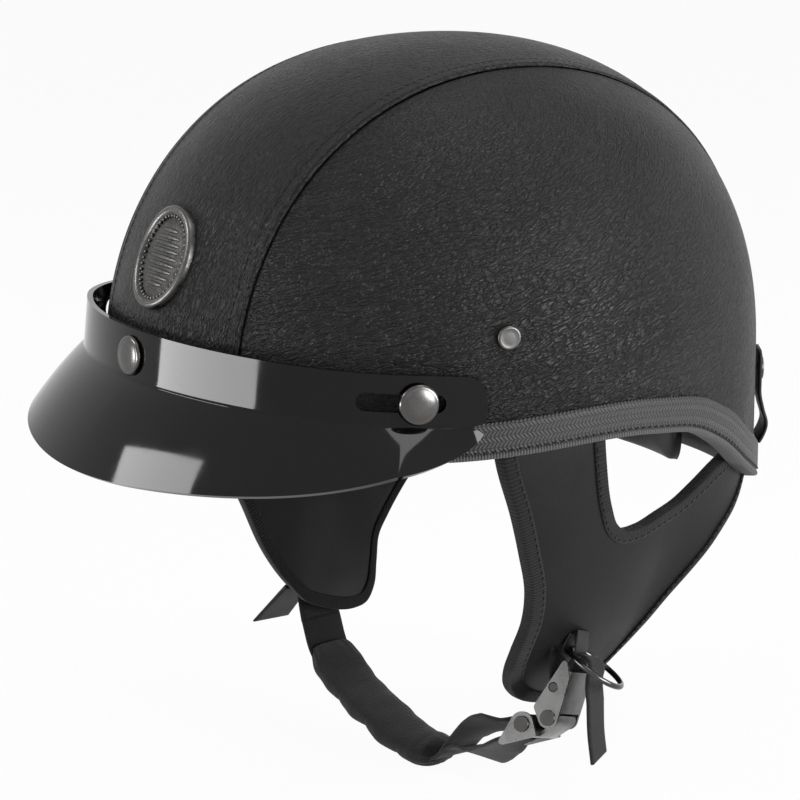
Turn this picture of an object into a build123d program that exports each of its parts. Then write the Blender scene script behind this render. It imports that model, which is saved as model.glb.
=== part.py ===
"""Half shell motorcycle helmet with a press-studded peak, ear flaps and a buckled chin strap.

The origin is the centre of the head opening at the level where the shell is widest.
+Z points up through the crown, -Y points forward and +X is the wearer's left.
"""
import os
from math import asin, cos, degrees, pi, radians, sin, sqrt
from build123d import *

os.makedirs("parts", exist_ok=True)

# Shell: half width, reach forward and back, crown height, roundness of the upright curve
half_width = 116.8
front_reach = 135.9
rear_reach = 140.5
crown_height = 129.2
crown_power = 2.23
skirt_drop = 80.0
nape_drop = 64.0
overrun = 5.0

# Layers of the shell, outside to inside, and the small gap left between neighbours
leather_wall = 1.3
shell_wall = 3.5
foam_wall = 17.0
lining_wall = 6.0
layer_gap = 0.1
soft_gap = 0.3

# Side view of the rim: along the rear reach, up the nape drop
rim_shares = (
    (-1.10, -0.07), (-0.53, -0.135), (0.11, -0.145), (0.285, -0.225),
    (0.42, -0.37), (0.605, -0.64), (0.84, -0.90), (1.10, -1.0),
)
trim_height = 13.5
trim_wall = 2.0
trim_foot = 2.6
trim_lip_wall = 1.4
trim_lip_height = 9.0
liner_lift = 16.0

# Seams between the three leather panels
seam_place = 45.5
seam_gap = 0.3
fold_width = 5.5
fold_rise = 0.5

# Badge: plain oval medallion with a beaded border and a fluted field
badge_height = 40.0
badge_width = 33.0
badge_wall = 2.6
badge_level = 57.0
badge_border = 2.6
badge_flute = 1.6
flute_count = 7

# Rivets that hold the strap anchors
rivet_head = 9.0
rivet_rise = 1.8
rivet_level = 35.5
rivet_turn = 69.5
anchor_width = 20.0
anchor_wall = 1.5

# Press studs
snap_cap = 15.2
snap_cap_rise = 2.2
snap_cap_edge = 0.9
snap_shank = 5.6
snap_base = 10.0
stud_post = 5.0
stud_bead = 5.8
stud_height = 2.6
stud_base_wall = 0.7
socket_width = 11.0
socket_clear = 0.35

# Peak: band height and wall, tilt, stand-off from the leather at the three studs and between
peak_wall = 2.2
peak_band = 20.5
peak_tilt = 6.5
peak_level = -4.8
front_stand = 3.8
flank_stand = 7.0
side_stand = 3.0
flank_turn = 33.0
side_turn = 54.2
side_snap_level = 16.5
ear_tail = 22.0
ear_corner = 7.5
cap_lift = 1.15
slot_width = 6.7
slot_ahead = 19.0
slot_behind = 7.6
peak_travel = 3.2

# Brim: half width, reach ahead of its back line, place of that line, level and droop of its edge
brim_half_width = 114.0
brim_reach = 98.5
brim_back = -67.0
brim_side_level = 3.5
brim_droop = 21.5
brim_crown = 2.4

# Ear flaps: each a leather face and a padded lining bound together along the edge
flap_plan_radius = 156.5
flap_plan_back = 51.0
flap_plan_shift = 10.0
left_hang_radius = 215.0
right_hang_radius = 290.0
flap_drop = 130.0
flap_span = 100.0
flap_leather_wall = 1.4
flap_lining_wall = 3.0
flap_tuck = 10.0
flap_start_turn = -30.0
flap_sweep = 85.0
flap_top = 30.0
binding_width = 5.5
binding_wall = 0.6
binding_edge = 1.0

# Outline of a flap from its front top down, round and up again, and of the notch between its legs
flap_edge_shares = (
    (-0.465, 0.09), (-0.46, 0.04), (-0.44, -0.115), (-0.365, -0.285), (-0.30, -0.585),
    (-0.25, -0.754), (-0.19, -0.877), (-0.08, -0.969), (0.08, -1.008), (0.22, -0.992),
    (0.34, -0.90), (0.50, -0.777), (0.72, -0.623), (0.90, -0.477), (1.0, -0.323), (1.03, -0.262),
)
flap_notch_shares = (
    (0.88, -0.208), (0.64, -0.285), (0.43, -0.346), (0.22, -0.39), (0.155, -0.392),
    (0.10, -0.32), (0.04, -0.154), (0.02, 0.04), (0.015, 0.09),
)
binding_edge_shares = (1, 1, 1, 1, 1, 1, 1, 1, 0.8, 0.6, 0.5, 0.5, 0.5, 0.5, 0.5, 0.5)
flap_flare_shares = (0, 0, 0, 0, 0, 0, 0, 0, 0.1, 0.35, 0.7, 1, 1, 0.7, 0.25, 0)
left_flare = 8.0
right_flare = -5.0
hem_rise = 1.5

# Keepers at the back for a goggle strap
keeper_turn = 31.0
keeper_top = -4.0
keeper_length = 38.4
keeper_width = 16.0
keeper_wall = 1.6
keeper_stand = 1.4
keeper_bulge = 3.0
keeper_snap = 10.5
keeper_cap_rise = 1.4
keeper_snap_drop = 8.5
keeper_stud = 3.6
keeper_foot = 7.4
keeper_clear = 0.4

# Nape pad
nape_width = 84.0
nape_height = 34.0
nape_level = -42.0
nape_wall = 7.0
nape_corner = 14.0

# Chin buckle: its middle is the latch pin, with its own directions
latch_spot = (84.9, -3.2, -129.1)
pin_direction = (0.40, -0.84, 0.366)
strap_direction = (0.772, 0.523, 0.361)
buckle_width = 25.0
pin_spacing = 10.4
pin_radius = 2.2
pin_head_radius = 3.1
pin_head_wall = 0.5
pin_clear = 0.25
ear_plate = 1.3
ear_radius = 4.8
buckle_nose = 11.0
base_drop = 4.6
base_wall = 1.3
base_near = 2.4
base_far = 4.9
hook_clear = 0.4
hook_width = 17.6

# Release lever: its rise from the latch pin, its channel and the strap bar between the flanges
lever_rise = 21.8
lever_turn = 60.4
lever_width = 21.4
lever_plate = 1.3
lever_foot = 4.0
lever_outer = 4.3
lever_web_foot = 3.0
lever_web_share = 0.9
lever_disc_shares = ((0, 0, 1), (0.133, 0.23, 0.45), (1.0, -0.037, 0.3), (0.367, -0.105, 0.5),
                     (0.78, -0.133, 0.35))
bar_rise = 12.0
bar_inset = 1.2
bar_radius = 1.7

# Webbing
web_wall = 1.5
chin_web = 20.0
left_web = 15.0
fold_radius = 4.2
fold_place = 22.3
slit_place = 26.0
slit_inset = 8.1
tail_top = 20.5
tail_length = 37.0
tail_shares = ((-0.003, 0.03, -0.34), (-0.014, 0.10, -0.69), (-0.03, 0.19, -1.0))
tail_turns = ((0.43, -0.85, 0.25), (0.47, -0.86, 0.10), (0.50, -0.866, 0.0))

# Keeper ring and the leather tab that holds it
ring_long = 28.0
ring_short = 26.0
ring_wire = 2.3
ring_droop = 22.0
ring_rise = 27.6
ring_inset = 1.2
tab_width = 11.0
tab_wall = 1.1
tab_clear = 1.0
ring_seat = 0.4
tab_reach = 6.0

# Chin strap: stations from the right flap's foot to the buckle, as shares of its span
chin_span = 150.0
root_shares = ((-0.5375, -0.027, -0.77), (-0.519, -0.0285, -0.85), (-0.5095, -0.0287, -0.886))
sling_shares = (
    (-0.5065, -0.0287, -0.8933), (-0.44, -0.0273, -0.987), (-0.32, -0.032, -1.056),
    (-0.167, -0.0347, -1.12), (-0.053, -0.0247, -1.151), (0.0133, 0.0127, -1.138),
)
lower_shares = ((0.147, -0.0033, -1.09), (0.27, -0.025, -1.06), (0.39, -0.050, -0.995))
upper_shares = ((0.133, -0.0033, -1.045), (0.275, -0.028, -0.975), (0.40, -0.054, -0.912))
root_gap = 0.9
twist_shares = (0.0, 0.0, 0.0, 0.0, 0.05, 0.12)
pad_width = 25.0
pad_depth = 9.5
pad_corner = 4.0
pad_waist = 0.84
pad_puffs = 4
pad_steps = 20

# Leather tongue on the right flap
tongue_length = 27.0
tongue_width = 13.0
tongue_wall = 2.0
tongue_spot = (-76.0, -21.0, -114.0)
tongue_direction = (-0.66, -0.11, -0.74)


def hang_share(level):
    """Share of the full plan size that the shell keeps at a height above the widest level."""
    rise = max(level, 0.0) / crown_height
    return (1 - rise ** crown_power) ** (1 / crown_power)


def leather_point(turn, level, out=0.0):
    """Point on the leather, turn degrees round from the front, pushed out level by out."""
    share = hang_share(level)
    reach = front_reach if abs(turn) < 90 else rear_reach
    across = half_width * share * sin(radians(turn))
    along = -reach * share * cos(radians(turn))
    square = Vector(across / half_width ** 2, along / reach ** 2, 0).normalized()
    return Vector(across, along, level) + square * out


def leather_way(turn):
    """Level direction square to the leather, turn degrees round from the front."""
    reach = front_reach if abs(turn) < 90 else rear_reach
    return Vector(sin(radians(turn)) / half_width, -cos(radians(turn)) / reach, 0).normalized()


def half_dome(inset, reach):
    """Rear half of a solid dome drawn in from the leather's face by inset."""
    width = half_width - inset
    height = crown_height - inset
    steps = (15, 30, 45, 60, 75)
    curve = [
        (width * cos(radians(a)) ** (2 / crown_power), height * sin(radians(a)) ** (2 / crown_power))
        for a in steps
    ]
    with BuildPart() as half:
        with BuildSketch(Plane.XZ):
            with BuildLine():
                Polyline((0, height), (0, -skirt_drop), (width, -skirt_drop), (width, 0))
                Spline((width, 0), *curve, (0, height), tangents=((0, 1), (-1, 0)))
            make_face()
        revolve(axis=Axis.Z, revolution_arc=180)
        scale(by=(1, (reach - inset) / width, 1))
    return half.part


def dome(inset):
    """Solid dome with its own reach forward and back."""
    with BuildPart() as whole:
        add(half_dome(inset, front_reach))
        mirror(about=Plane.XZ, mode=Mode.REPLACE)
        add(half_dome(inset, rear_reach))
    return whole.part


def moved_line(points, levels):
    """Points moved to the left of their line's run, each by its own level."""
    line = []
    for place, (point, level) in enumerate(zip(points, levels)):
        before = points[max(place - 1, 0)]
        after = points[min(place + 1, len(points) - 1)]
        run = (after - before).normalized()
        line.append((point.X - run.Y * level, point.Y + run.X * level))
    return line


def rim_line(level):
    """Points of the rim in side view, raised square to the rim by level."""
    points = [Vector(rear_reach * a, nape_drop * b, 0) for a, b in rim_shares]
    return moved_line(points, [level] * len(points))


def under_rim(level):
    """Block that holds everything below the raised rim line."""
    points = rim_line(level)
    floor = -skirt_drop - flap_drop
    with BuildPart() as block:
        with BuildSketch(Plane.YZ):
            with BuildLine():
                Spline(*points)
                Polyline(points[-1], (points[-1][0], floor), (points[0][0], floor), points[0])
            make_face()
        extrude(amount=half_width + overrun, both=True)
    return block.part


def slab(x_low, x_high, y_low=-front_reach - overrun, y_high=rear_reach + overrun,
         z_low=-skirt_drop - overrun, z_high=crown_height + overrun):
    """Plain block between the given levels."""
    with BuildPart() as block:
        with Locations(((x_low + x_high) / 2, (y_low + y_high) / 2, (z_low + z_high) / 2)):
            Box(x_high - x_low, y_high - y_low, z_high - z_low)
    return block.part


def save(node, label):
    """Label a finished piece and write it."""
    node.label = label
    export_step(node, f"parts/{label}.step")
    print(label, round(node.volume, 1), len(node.solids()))


dome_face = dome(0)
dome_shell_out = dome(leather_wall)
shell_inset = leather_wall + shell_wall
dome_shell_in = dome(shell_inset)
foam_inset = shell_inset + layer_gap
lining_inset = foam_inset + foam_wall
dome_foam = dome(foam_inset)
below_foot = under_rim(trim_foot)
below_lip = under_rim(trim_lip_height)
below_liner = under_rim(liner_lift)

# Hard shell
with BuildPart() as hard_shell:
    add(dome_shell_out)
    add(dome_shell_in, mode=Mode.SUBTRACT)
    add(below_foot, mode=Mode.SUBTRACT)
save(hard_shell.part, "hard_shell")

# Leather skin, cut into three panels along the seams
with BuildPart() as leather_skin:
    add(dome_face)
    add(dome(leather_wall - layer_gap), mode=Mode.SUBTRACT)
    add(below_foot, mode=Mode.SUBTRACT)
with BuildPart() as fold_skin:
    add(dome(-fold_rise))
    add(dome_face, mode=Mode.SUBTRACT)
    add(under_rim(trim_height + seam_gap), mode=Mode.SUBTRACT)
with BuildPart() as leather_centre_panel:
    add(leather_skin.part)
    add(slab(-seam_place, seam_place), mode=Mode.INTERSECT)
save(leather_centre_panel.part, "leather_centre_panel")
for side, label in ((1, "leather_left_panel"), (-1, "leather_right_panel")):
    inner = seam_place + seam_gap
    outer = half_width + overrun
    with BuildPart() as side_panel:
        add(leather_skin.part)
        add(slab(*sorted((side * inner, side * outer))), mode=Mode.INTERSECT)
    save(side_panel.part, label)
with BuildPart() as seam_folds:
    add(fold_skin.part)
    add(slab(-seam_place, seam_place), mode=Mode.INTERSECT)
    add(slab(-seam_place + fold_width, seam_place - fold_width), mode=Mode.SUBTRACT)
save(seam_folds.part, "seam_folds")

# Rim trim that wraps the shell's edge inside and out
with BuildPart() as rim_trim:
    add(dome(-trim_wall))
    add(dome(shell_inset + trim_lip_wall), mode=Mode.SUBTRACT)
    add(under_rim(trim_height), mode=Mode.INTERSECT)
    add(under_rim(0), mode=Mode.SUBTRACT)
with BuildPart() as shell_edge:
    add(dome(-layer_gap))
    add(dome(shell_inset + layer_gap), mode=Mode.SUBTRACT)
    add(under_rim(trim_foot - layer_gap), mode=Mode.SUBTRACT)
with BuildPart() as lip_cut:
    add(dome_shell_in)
    add(below_lip, mode=Mode.SUBTRACT)
with BuildPart() as rim_trim_done:
    add(rim_trim.part)
    add(shell_edge.part, mode=Mode.SUBTRACT)
    add(lip_cut.part, mode=Mode.SUBTRACT)
save(rim_trim_done.part, "rim_trim")

# Foam liner, cloth liner and nape pad
with BuildPart() as anchor_room:
    add(dome_shell_in)
    add(dome(foam_inset + anchor_wall + layer_gap), mode=Mode.SUBTRACT)
    add(slab(0, half_width, *sorted((
        leather_point(rivet_turn, rivet_level).Y - anchor_width / 2 - soft_gap,
        leather_point(rivet_turn, rivet_level).Y + anchor_width / 2 + soft_gap)),
        -skirt_drop, rivet_level + anchor_width / 2 + soft_gap), mode=Mode.INTERSECT)
    mirror(about=Plane.YZ)
with BuildPart() as eps_liner:
    add(dome_foam)
    add(dome(lining_inset), mode=Mode.SUBTRACT)
    add(below_liner, mode=Mode.SUBTRACT)
    add(anchor_room.part, mode=Mode.SUBTRACT)
save(eps_liner.part, "eps_liner")
with BuildPart() as comfort_liner:
    add(dome(lining_inset + layer_gap))
    add(dome(lining_inset + lining_wall), mode=Mode.SUBTRACT)
    add(below_liner, mode=Mode.SUBTRACT)
save(comfort_liner.part, "comfort_liner")
with BuildPart() as strap_anchors:
    add(dome_foam)
    add(dome(foam_inset + anchor_wall), mode=Mode.SUBTRACT)
    add(slab(0, half_width,
             leather_point(rivet_turn, rivet_level).Y - anchor_width / 2,
             leather_point(rivet_turn, rivet_level).Y + anchor_width / 2,
             -skirt_drop, rivet_level + anchor_width / 2), mode=Mode.INTERSECT)
    add(under_rim(trim_lip_height + soft_gap), mode=Mode.SUBTRACT)
    mirror(about=Plane.YZ)
save(strap_anchors.part, "strap_anchors")


def stud_plane(turn, level, out=0.0):
    """Plane on the leather that faces straight out."""
    return Plane(origin=leather_point(turn, level, out), z_dir=leather_way(turn), x_dir=(0, 0, 1))


def round_piece(plane, rings):
    """Turned piece about the plane's axis, from pairs of diameter and height."""
    with BuildPart() as turned:
        for (width, low, high) in rings:
            with BuildSketch(plane.offset(low)):
                Circle(width / 2)
            extrude(amount=high - low)
    return turned.part


def domed_cap(plane, width, low, rise, edge):
    """Press stud cap: a low dome on a short upright edge."""
    with BuildPart() as cap:
        with BuildSketch(plane.offset(low)):
            Circle(width / 2)
        extrude(amount=rise)
        crown = cap.edges().filter_by(GeomType.CIRCLE).sort_by(
            lambda e: (e.center() - plane.origin).dot(plane.z_dir))[-1]
        fillet(crown, radius=rise - edge)
    return cap.part


# Rivets that go through the shell to the strap anchors
for side, label in ((1, "left_strap_rivet"), (-1, "right_strap_rivet")):
    plane = stud_plane(side * rivet_turn, rivet_level)
    with BuildPart() as rivet:
        add(domed_cap(plane, rivet_head, -rivet_rise / 2, rivet_rise * 3 / 2, rivet_rise / 2))
        add(dome_face, mode=Mode.SUBTRACT)
    save(rivet.part, label)


def press_socket(plane, low, high):
    """Socket cup that the stud snaps into: an open ring round the bead."""
    with BuildPart() as socket:
        with BuildSketch(plane.offset(low)):
            Circle(socket_width / 2)
            Circle(stud_bead / 2 + socket_clear, mode=Mode.SUBTRACT)
        extrude(amount=high - low)
    return socket.part


# Peak: the band's inner face in plan, from the front to the ear's end
peak_plane = Plane(
    origin=(0, 0, peak_level), x_dir=(1, 0, 0),
    z_dir=(0, sin(radians(peak_tilt)), cos(radians(peak_tilt))),
)
front_snap_level = peak_level - peak_plane.z_dir.Y / peak_plane.z_dir.Z * (
    -front_reach) + peak_band / 2
flank_level = (front_snap_level + side_snap_level) / 2


def band_points(grow):
    """Front, flank and side points of the band, and the ear's direction, pushed out by grow."""
    stands = ((0, front_snap_level, front_stand), (flank_turn, flank_level, flank_stand),
              (side_turn, side_snap_level, side_stand))
    spots = []
    for turn, level, stand in stands:
        spot = peak_plane.to_local_coords(leather_point(turn, level, stand))
        spots.append(Vector(spot.X, spot.Y))
    with BuildLine(mode=Mode.PRIVATE) as inner:
        nose = TangentArc(spots[0], spots[1], tangent=(1, 0))
        flank = TangentArc(spots[1], spots[2], tangent=nose % 1)
    ways = (Vector(1, 0), nose % 1, flank % 1)
    return [s + Vector(w.Y, -w.X) * grow for s, w in zip(spots, ways)], ways


def band_curve(grow):
    """Left half of the band's plan as three edges: nose arc, flank arc and straight ear."""
    spots, ways = band_points(grow)
    with BuildLine(mode=Mode.PRIVATE) as half:
        TangentArc(spots[0], spots[1], tangent=ways[0])
        TangentArc(spots[1], spots[2], tangent=ways[1])
        Line(spots[2], spots[2] + ways[2] * ear_tail)
    return half.line


ear_spots, ear_ways = band_points(0)
ear_inner = peak_plane.from_local_coords(Vector(ear_spots[2].X, ear_spots[2].Y, peak_band / 2))
ear_out = (peak_plane.from_local_coords(Vector(ear_ways[2].Y, -ear_ways[2].X, 0))
           - peak_plane.origin).normalized()
ear_plane = Plane(origin=ear_inner, z_dir=ear_out,
                  x_dir=peak_plane.from_local_coords(ear_ways[2]) - peak_plane.origin)

with BuildPart() as band:
    with BuildSketch(peak_plane):
        with BuildLine():
            inner_line = add(band_curve(0))
            outer_line = add(band_curve(peak_wall))
            Line(band_curve(0) @ 0, band_curve(peak_wall) @ 0)
            Line(band_curve(0) @ 1, band_curve(peak_wall) @ 1)
        make_face()
        mirror(about=Plane.YZ)
    extrude(amount=peak_band)
    ear_ends = band.edges().filter_by(
        lambda e: abs(e.length - peak_wall) < peak_wall / 10).sort_by(Axis.Y)[-4:]
    fillet(ear_ends, radius=ear_corner)

# Brim: ruled from the band's lower edge to its own flat-cut edge
brim_steps = 12
crease_line = band_curve(peak_wall / 2)
crease = [crease_line @ (k / brim_steps) for k in range(brim_steps + 1)]
crease = [Vector(-p.X, p.Y) for p in reversed(crease[1:])] + crease
crease = [peak_plane.from_local_coords(Vector(p.X, p.Y, peak_wall / 2)) for p in crease]
lip = []
for k in range(-brim_steps, brim_steps + 1):
    angle = radians(90 * k / brim_steps)
    lip.append(Vector(brim_half_width * sin(angle), brim_back - brim_reach * cos(angle),
                      brim_side_level - brim_droop * cos(angle)))
lip[0] = crease[0] + Vector(-peak_wall / 2, 0, -peak_wall / 2)
lip[-1] = crease[-1] + Vector(peak_wall / 2, 0, -peak_wall / 2)
brim_face = Face.make_surface_from_array_of_points([
    [c + (e - c) * share + Vector(0, 0, brim_crown * 4 * share * (1 - share) * (1 - abs(
        2 * place / (len(lip) - 1) - 1)))
     for share in (0, 0.25, 0.5, 0.75, 1)]
    for place, (c, e) in enumerate(zip(crease, lip))
])
with BuildPart() as brim:
    thicken(brim_face, amount=peak_wall / 2, both=True)
with BuildPart() as peak:
    add(band.part)
    add(brim.part)
    add(dome(-trim_wall - soft_gap), mode=Mode.SUBTRACT)
    for plane in (ear_plane, Plane(origin=(-ear_plane.origin.X, ear_plane.origin.Y, ear_plane.origin.Z),
                                   z_dir=(-ear_plane.z_dir.X, ear_plane.z_dir.Y, ear_plane.z_dir.Z),
                                   x_dir=(-ear_plane.x_dir.X, ear_plane.x_dir.Y, ear_plane.x_dir.Z))):
        with BuildSketch(plane):
            with Locations(((slot_behind - slot_ahead) / 2, 0)):
                SlotCenterToCenter(slot_ahead + slot_behind, slot_width)
        extrude(amount=peak_wall + overrun, both=True, mode=Mode.SUBTRACT)
save(peak.part, "peak")

# Front press stud: the cap and socket ride on the peak, the stud stays on the shell
peak_forward = Vector(0, -peak_plane.z_dir.Z, peak_plane.z_dir.Y)
front_plane = Plane(origin=leather_point(0, front_snap_level), z_dir=peak_forward, x_dir=(1, 0, 0))
snap_low = stud_base_wall + soft_gap
with BuildPart() as front_stud:
    add(round_piece(front_plane, (
        (snap_base, -overrun / 2, stud_base_wall), (stud_post, 0, stud_height),
        (stud_bead, stud_height - stud_base_wall, stud_height))))
    add(dome_face, mode=Mode.SUBTRACT)
save(front_stud.part, "front_snap_stud")
save(press_socket(front_plane, snap_low, front_stand - 2 * layer_gap), "front_snap_socket")
save(domed_cap(front_plane, snap_cap, front_stand + peak_wall, snap_cap_rise, snap_cap_edge),
     "front_snap_cap")

# Side press studs: the socket's shank passes through the ear's slot and carries the cap
for side, name in ((1, "left"), (-1, "right")):
    plane = Plane(
        origin=(side * ear_plane.origin.X, ear_plane.origin.Y, ear_plane.origin.Z),
        z_dir=(side * ear_plane.z_dir.X, ear_plane.z_dir.Y, ear_plane.z_dir.Z),
        x_dir=(side * ear_plane.x_dir.X, ear_plane.x_dir.Y, ear_plane.x_dir.Z))
    roof = -soft_gap - layer_gap
    with BuildPart() as side_stud:
        add(round_piece(plane, (
            (snap_base, -side_stand - overrun / 2, -side_stand + stud_base_wall),
            (stud_post, -side_stand, roof - stud_base_wall - soft_gap),
            (stud_bead, roof - 2 * stud_base_wall - soft_gap, roof - stud_base_wall - soft_gap))))
        add(dome_face, mode=Mode.SUBTRACT)
    save(side_stud.part, f"{name}_snap_stud")
    with BuildPart() as side_socket:
        add(press_socket(plane, -side_stand + snap_low, roof - stud_base_wall))
        add(round_piece(plane, ((socket_width, roof - stud_base_wall, roof),
                                (snap_shank, roof, peak_wall + cap_lift))))
        add(dome_face, mode=Mode.SUBTRACT)
    save(side_socket.part, f"{name}_snap_socket")
    save(domed_cap(plane, snap_cap, peak_wall + cap_lift, snap_cap_rise, snap_cap_edge),
         f"{name}_snap_cap")

# Badge on the front of the leather
badge_share = hang_share(badge_level)
badge_way = Vector(0, -badge_share ** (crown_power - 1) / front_reach,
                   (badge_level / crown_height) ** (crown_power - 1) / crown_height).normalized()
badge_plane = Plane(origin=(0, -front_reach * badge_share, badge_level), z_dir=badge_way,
                    x_dir=(1, 0, 0))
with BuildPart() as badge:
    with BuildSketch(badge_plane.offset(-badge_wall)):
        Ellipse(badge_width / 2, badge_height / 2)
    extrude(amount=2 * badge_wall)
    with BuildSketch(badge_plane.offset(badge_wall)):
        Ellipse(badge_width / 2 - badge_border, badge_height / 2 - badge_border)
    extrude(amount=-badge_wall / 2, mode=Mode.SUBTRACT)
    with BuildSketch(badge_plane.offset(badge_wall / 2)):
        with GridLocations(0, 2 * badge_flute, 1, flute_count):
            Rectangle(badge_width, badge_flute)
        Ellipse(badge_width / 2 - badge_border, badge_height / 2 - badge_border,
                mode=Mode.INTERSECT)
    extrude(amount=badge_wall / 4)
    add(dome_face, mode=Mode.SUBTRACT)
save(badge.part, "front_badge")

# Nape pad: a soft tongue inside the back of the liner
with BuildPart() as nape_pad:
    add(dome(lining_inset + lining_wall + layer_gap))
    add(dome(lining_inset + lining_wall + nape_wall), mode=Mode.SUBTRACT)
    with BuildSketch(Plane.XZ.offset(-lining_inset)):
        with Locations((0, nape_level)):
            RectangleRounded(nape_width, nape_height, nape_corner)
    extrude(amount=-rear_reach, mode=Mode.INTERSECT)
save(nape_pad.part, "nape_pad")


def hang_spot(hang, out, angle):
    """Point of the flap's upright curve, as radius from its axis and level."""
    return (flap_plan_radius - hang + (hang + out) * cos(angle), (hang + out) * sin(angle))


def flap_sheet(high, low, hang):
    """Left flap's curved sheet between two heights over its outer face."""
    turn = radians(flap_start_turn)
    foot = -asin((flap_drop + overrun) / hang)
    side_plane = Plane(origin=(-flap_plan_back, flap_plan_shift, 0), x_dir=(cos(turn), sin(turn), 0),
                       z_dir=(sin(turn), -cos(turn), 0))
    with BuildPart() as sheet:
        with BuildSketch(side_plane):
            with BuildLine():
                Polyline((flap_plan_radius + low, 0), (flap_plan_radius + low, flap_top),
                         (flap_plan_radius + high, flap_top), (flap_plan_radius + high, 0))
                ThreePointArc(hang_spot(hang, high, 0), hang_spot(hang, high, foot / 2),
                              hang_spot(hang, high, foot))
                Line(hang_spot(hang, high, foot), hang_spot(hang, low, foot))
                ThreePointArc(hang_spot(hang, low, foot), hang_spot(hang, low, foot / 2),
                              hang_spot(hang, low, 0))
            make_face()
        revolve(axis=Axis((-flap_plan_back, flap_plan_shift, 0), (0, 0, 1)), revolution_arc=flap_sweep)
    return sheet.part


def flap_block(flare, edge_out, notch_out):
    """Prism over the flap's outline, flared at the back and grown by its own amount at each point."""
    edge = [Vector(flap_span * a + flare * c, flap_drop * b)
            for (a, b), c in zip(flap_edge_shares, flap_flare_shares)]
    notch = [Vector(flap_span * a, flap_drop * b) for a, b in flap_notch_shares]
    edge = moved_line(edge, [-out for out in edge_out])
    notch = moved_line(notch, [-notch_out for _ in notch])
    with BuildPart() as block:
        with BuildSketch(Plane.YZ):
            with BuildLine():
                Spline(*edge)
                Line(edge[-1], notch[0])
                Spline(*notch)
                Line(notch[-1], edge[0])
            make_face()
        extrude(amount=half_width)
    return block.part


tuck_block = under_rim(flap_tuck)
hem_foot = under_rim(hem_rise)
hem_room = dome(shell_inset + trim_lip_wall + layer_gap)
leather_low = -flap_leather_wall
lining_high = leather_low - layer_gap
lining_low = lining_high - flap_lining_wall
bind_gap = binding_wall + layer_gap
right_flap = []
for name, hang, flare in (("left", left_hang_radius, left_flare),
                          ("right", right_hang_radius, right_flare)):
    flap_outline = flap_block(flare, [0] * len(binding_edge_shares), 0)
    flap_outline_out = flap_block(flare, [binding_edge] * len(binding_edge_shares), binding_edge)
    flap_outline_in = flap_block(flare, [(binding_edge - binding_width) * s
                                         for s in binding_edge_shares],
                                 binding_edge - binding_width)
    with BuildPart() as flap_leather:
        add(flap_sheet(0, leather_low, hang))
        add(flap_outline, mode=Mode.INTERSECT)
        add(tuck_block, mode=Mode.INTERSECT)
    with BuildPart() as flap_lining:
        add(flap_sheet(lining_high, lining_low, hang))
        add(flap_outline, mode=Mode.INTERSECT)
        add(tuck_block, mode=Mode.INTERSECT)
    with BuildPart() as flap_core:
        add(flap_sheet(layer_gap, lining_low - layer_gap, hang))
        add(flap_outline, mode=Mode.INTERSECT)
    with BuildPart() as flap_binding:
        add(flap_sheet(bind_gap, lining_low - bind_gap, hang))
        add(flap_outline_out, mode=Mode.INTERSECT)
        add(tuck_block, mode=Mode.INTERSECT)
        add(flap_outline_in, mode=Mode.SUBTRACT)
        add(flap_core.part, mode=Mode.SUBTRACT)
        add(rim_trim_done.part, mode=Mode.SUBTRACT)
    with BuildPart() as flap_hem:
        add(flap_sheet(foam_wall, layer_gap, hang))
        add(flap_outline_in, mode=Mode.INTERSECT)
        add(hem_room, mode=Mode.INTERSECT)
        add(below_lip, mode=Mode.INTERSECT)
        add(hem_foot, mode=Mode.SUBTRACT)
    for part, label in ((flap_leather, "flap_leather"), (flap_lining, "flap_lining"),
                        (flap_binding, "flap_binding"), (flap_hem, "flap_hem")):
        if name == "left":
            save(part.part, f"{name}_{label}")
        else:
            with BuildPart() as mirrored:
                add(part.part)
                mirror(about=Plane.YZ, mode=Mode.REPLACE)
            save(mirrored.part, f"{name}_{label}")
            right_flap.append(mirrored.part)

# Keepers for a goggle strap at the back: strap, cap with socket, and stud on the shell
for side, name in ((1, "left"), (-1, "right")):
    plane = stud_plane(side * (180 - keeper_turn), keeper_top - keeper_snap_drop)
    middle = keeper_stand + keeper_wall / 2
    foot = keeper_snap_drop - keeper_length
    path_plane = Plane(origin=plane.origin, x_dir=plane.z_dir, z_dir=plane.z_dir.cross(plane.x_dir))
    with BuildPart() as keeper:
        with BuildSketch(path_plane):
            with BuildLine():
                Line((middle, keeper_snap_drop), (middle, foot / 3))
                Spline((middle, foot / 3), (middle + keeper_bulge, foot * 3 / 4), (middle, foot),
                       tangents=((0, -1), (-1, -1)))
            trace(line_width=keeper_wall)
        extrude(amount=keeper_width / 2, both=True)
    save(keeper.part, f"{name}_keeper")
    with BuildPart() as keeper_snap_parts:
        add(domed_cap(plane, keeper_snap, keeper_stand + keeper_wall, keeper_cap_rise,
                      keeper_cap_rise / 2))
        with BuildSketch(plane.offset(keeper_stand - keeper_wall / 2)):
            Circle(keeper_foot / 2)
            Circle(keeper_stud / 2 + keeper_clear, mode=Mode.SUBTRACT)
        extrude(amount=keeper_wall / 2)
    save(keeper_snap_parts.part, f"{name}_keeper_snap")
    with BuildPart() as keeper_stud_part:
        add(round_piece(plane, ((keeper_foot, -overrun / 2, keeper_stand / 4),
                                (keeper_stud, 0, keeper_stand - soft_gap))))
        add(dome_face, mode=Mode.SUBTRACT)
    save(keeper_stud_part.part, f"{name}_keeper_stud")

# Buckle planes: one along the chin strap, one along the release lever
buckle_plane = Plane(origin=latch_spot, x_dir=strap_direction, z_dir=pin_direction)
lever_way = (buckle_plane.x_dir * cos(radians(lever_turn))
             + buckle_plane.y_dir * sin(radians(lever_turn)))
lever_plane = Plane(origin=latch_spot, x_dir=lever_way, z_dir=pin_direction)


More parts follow.
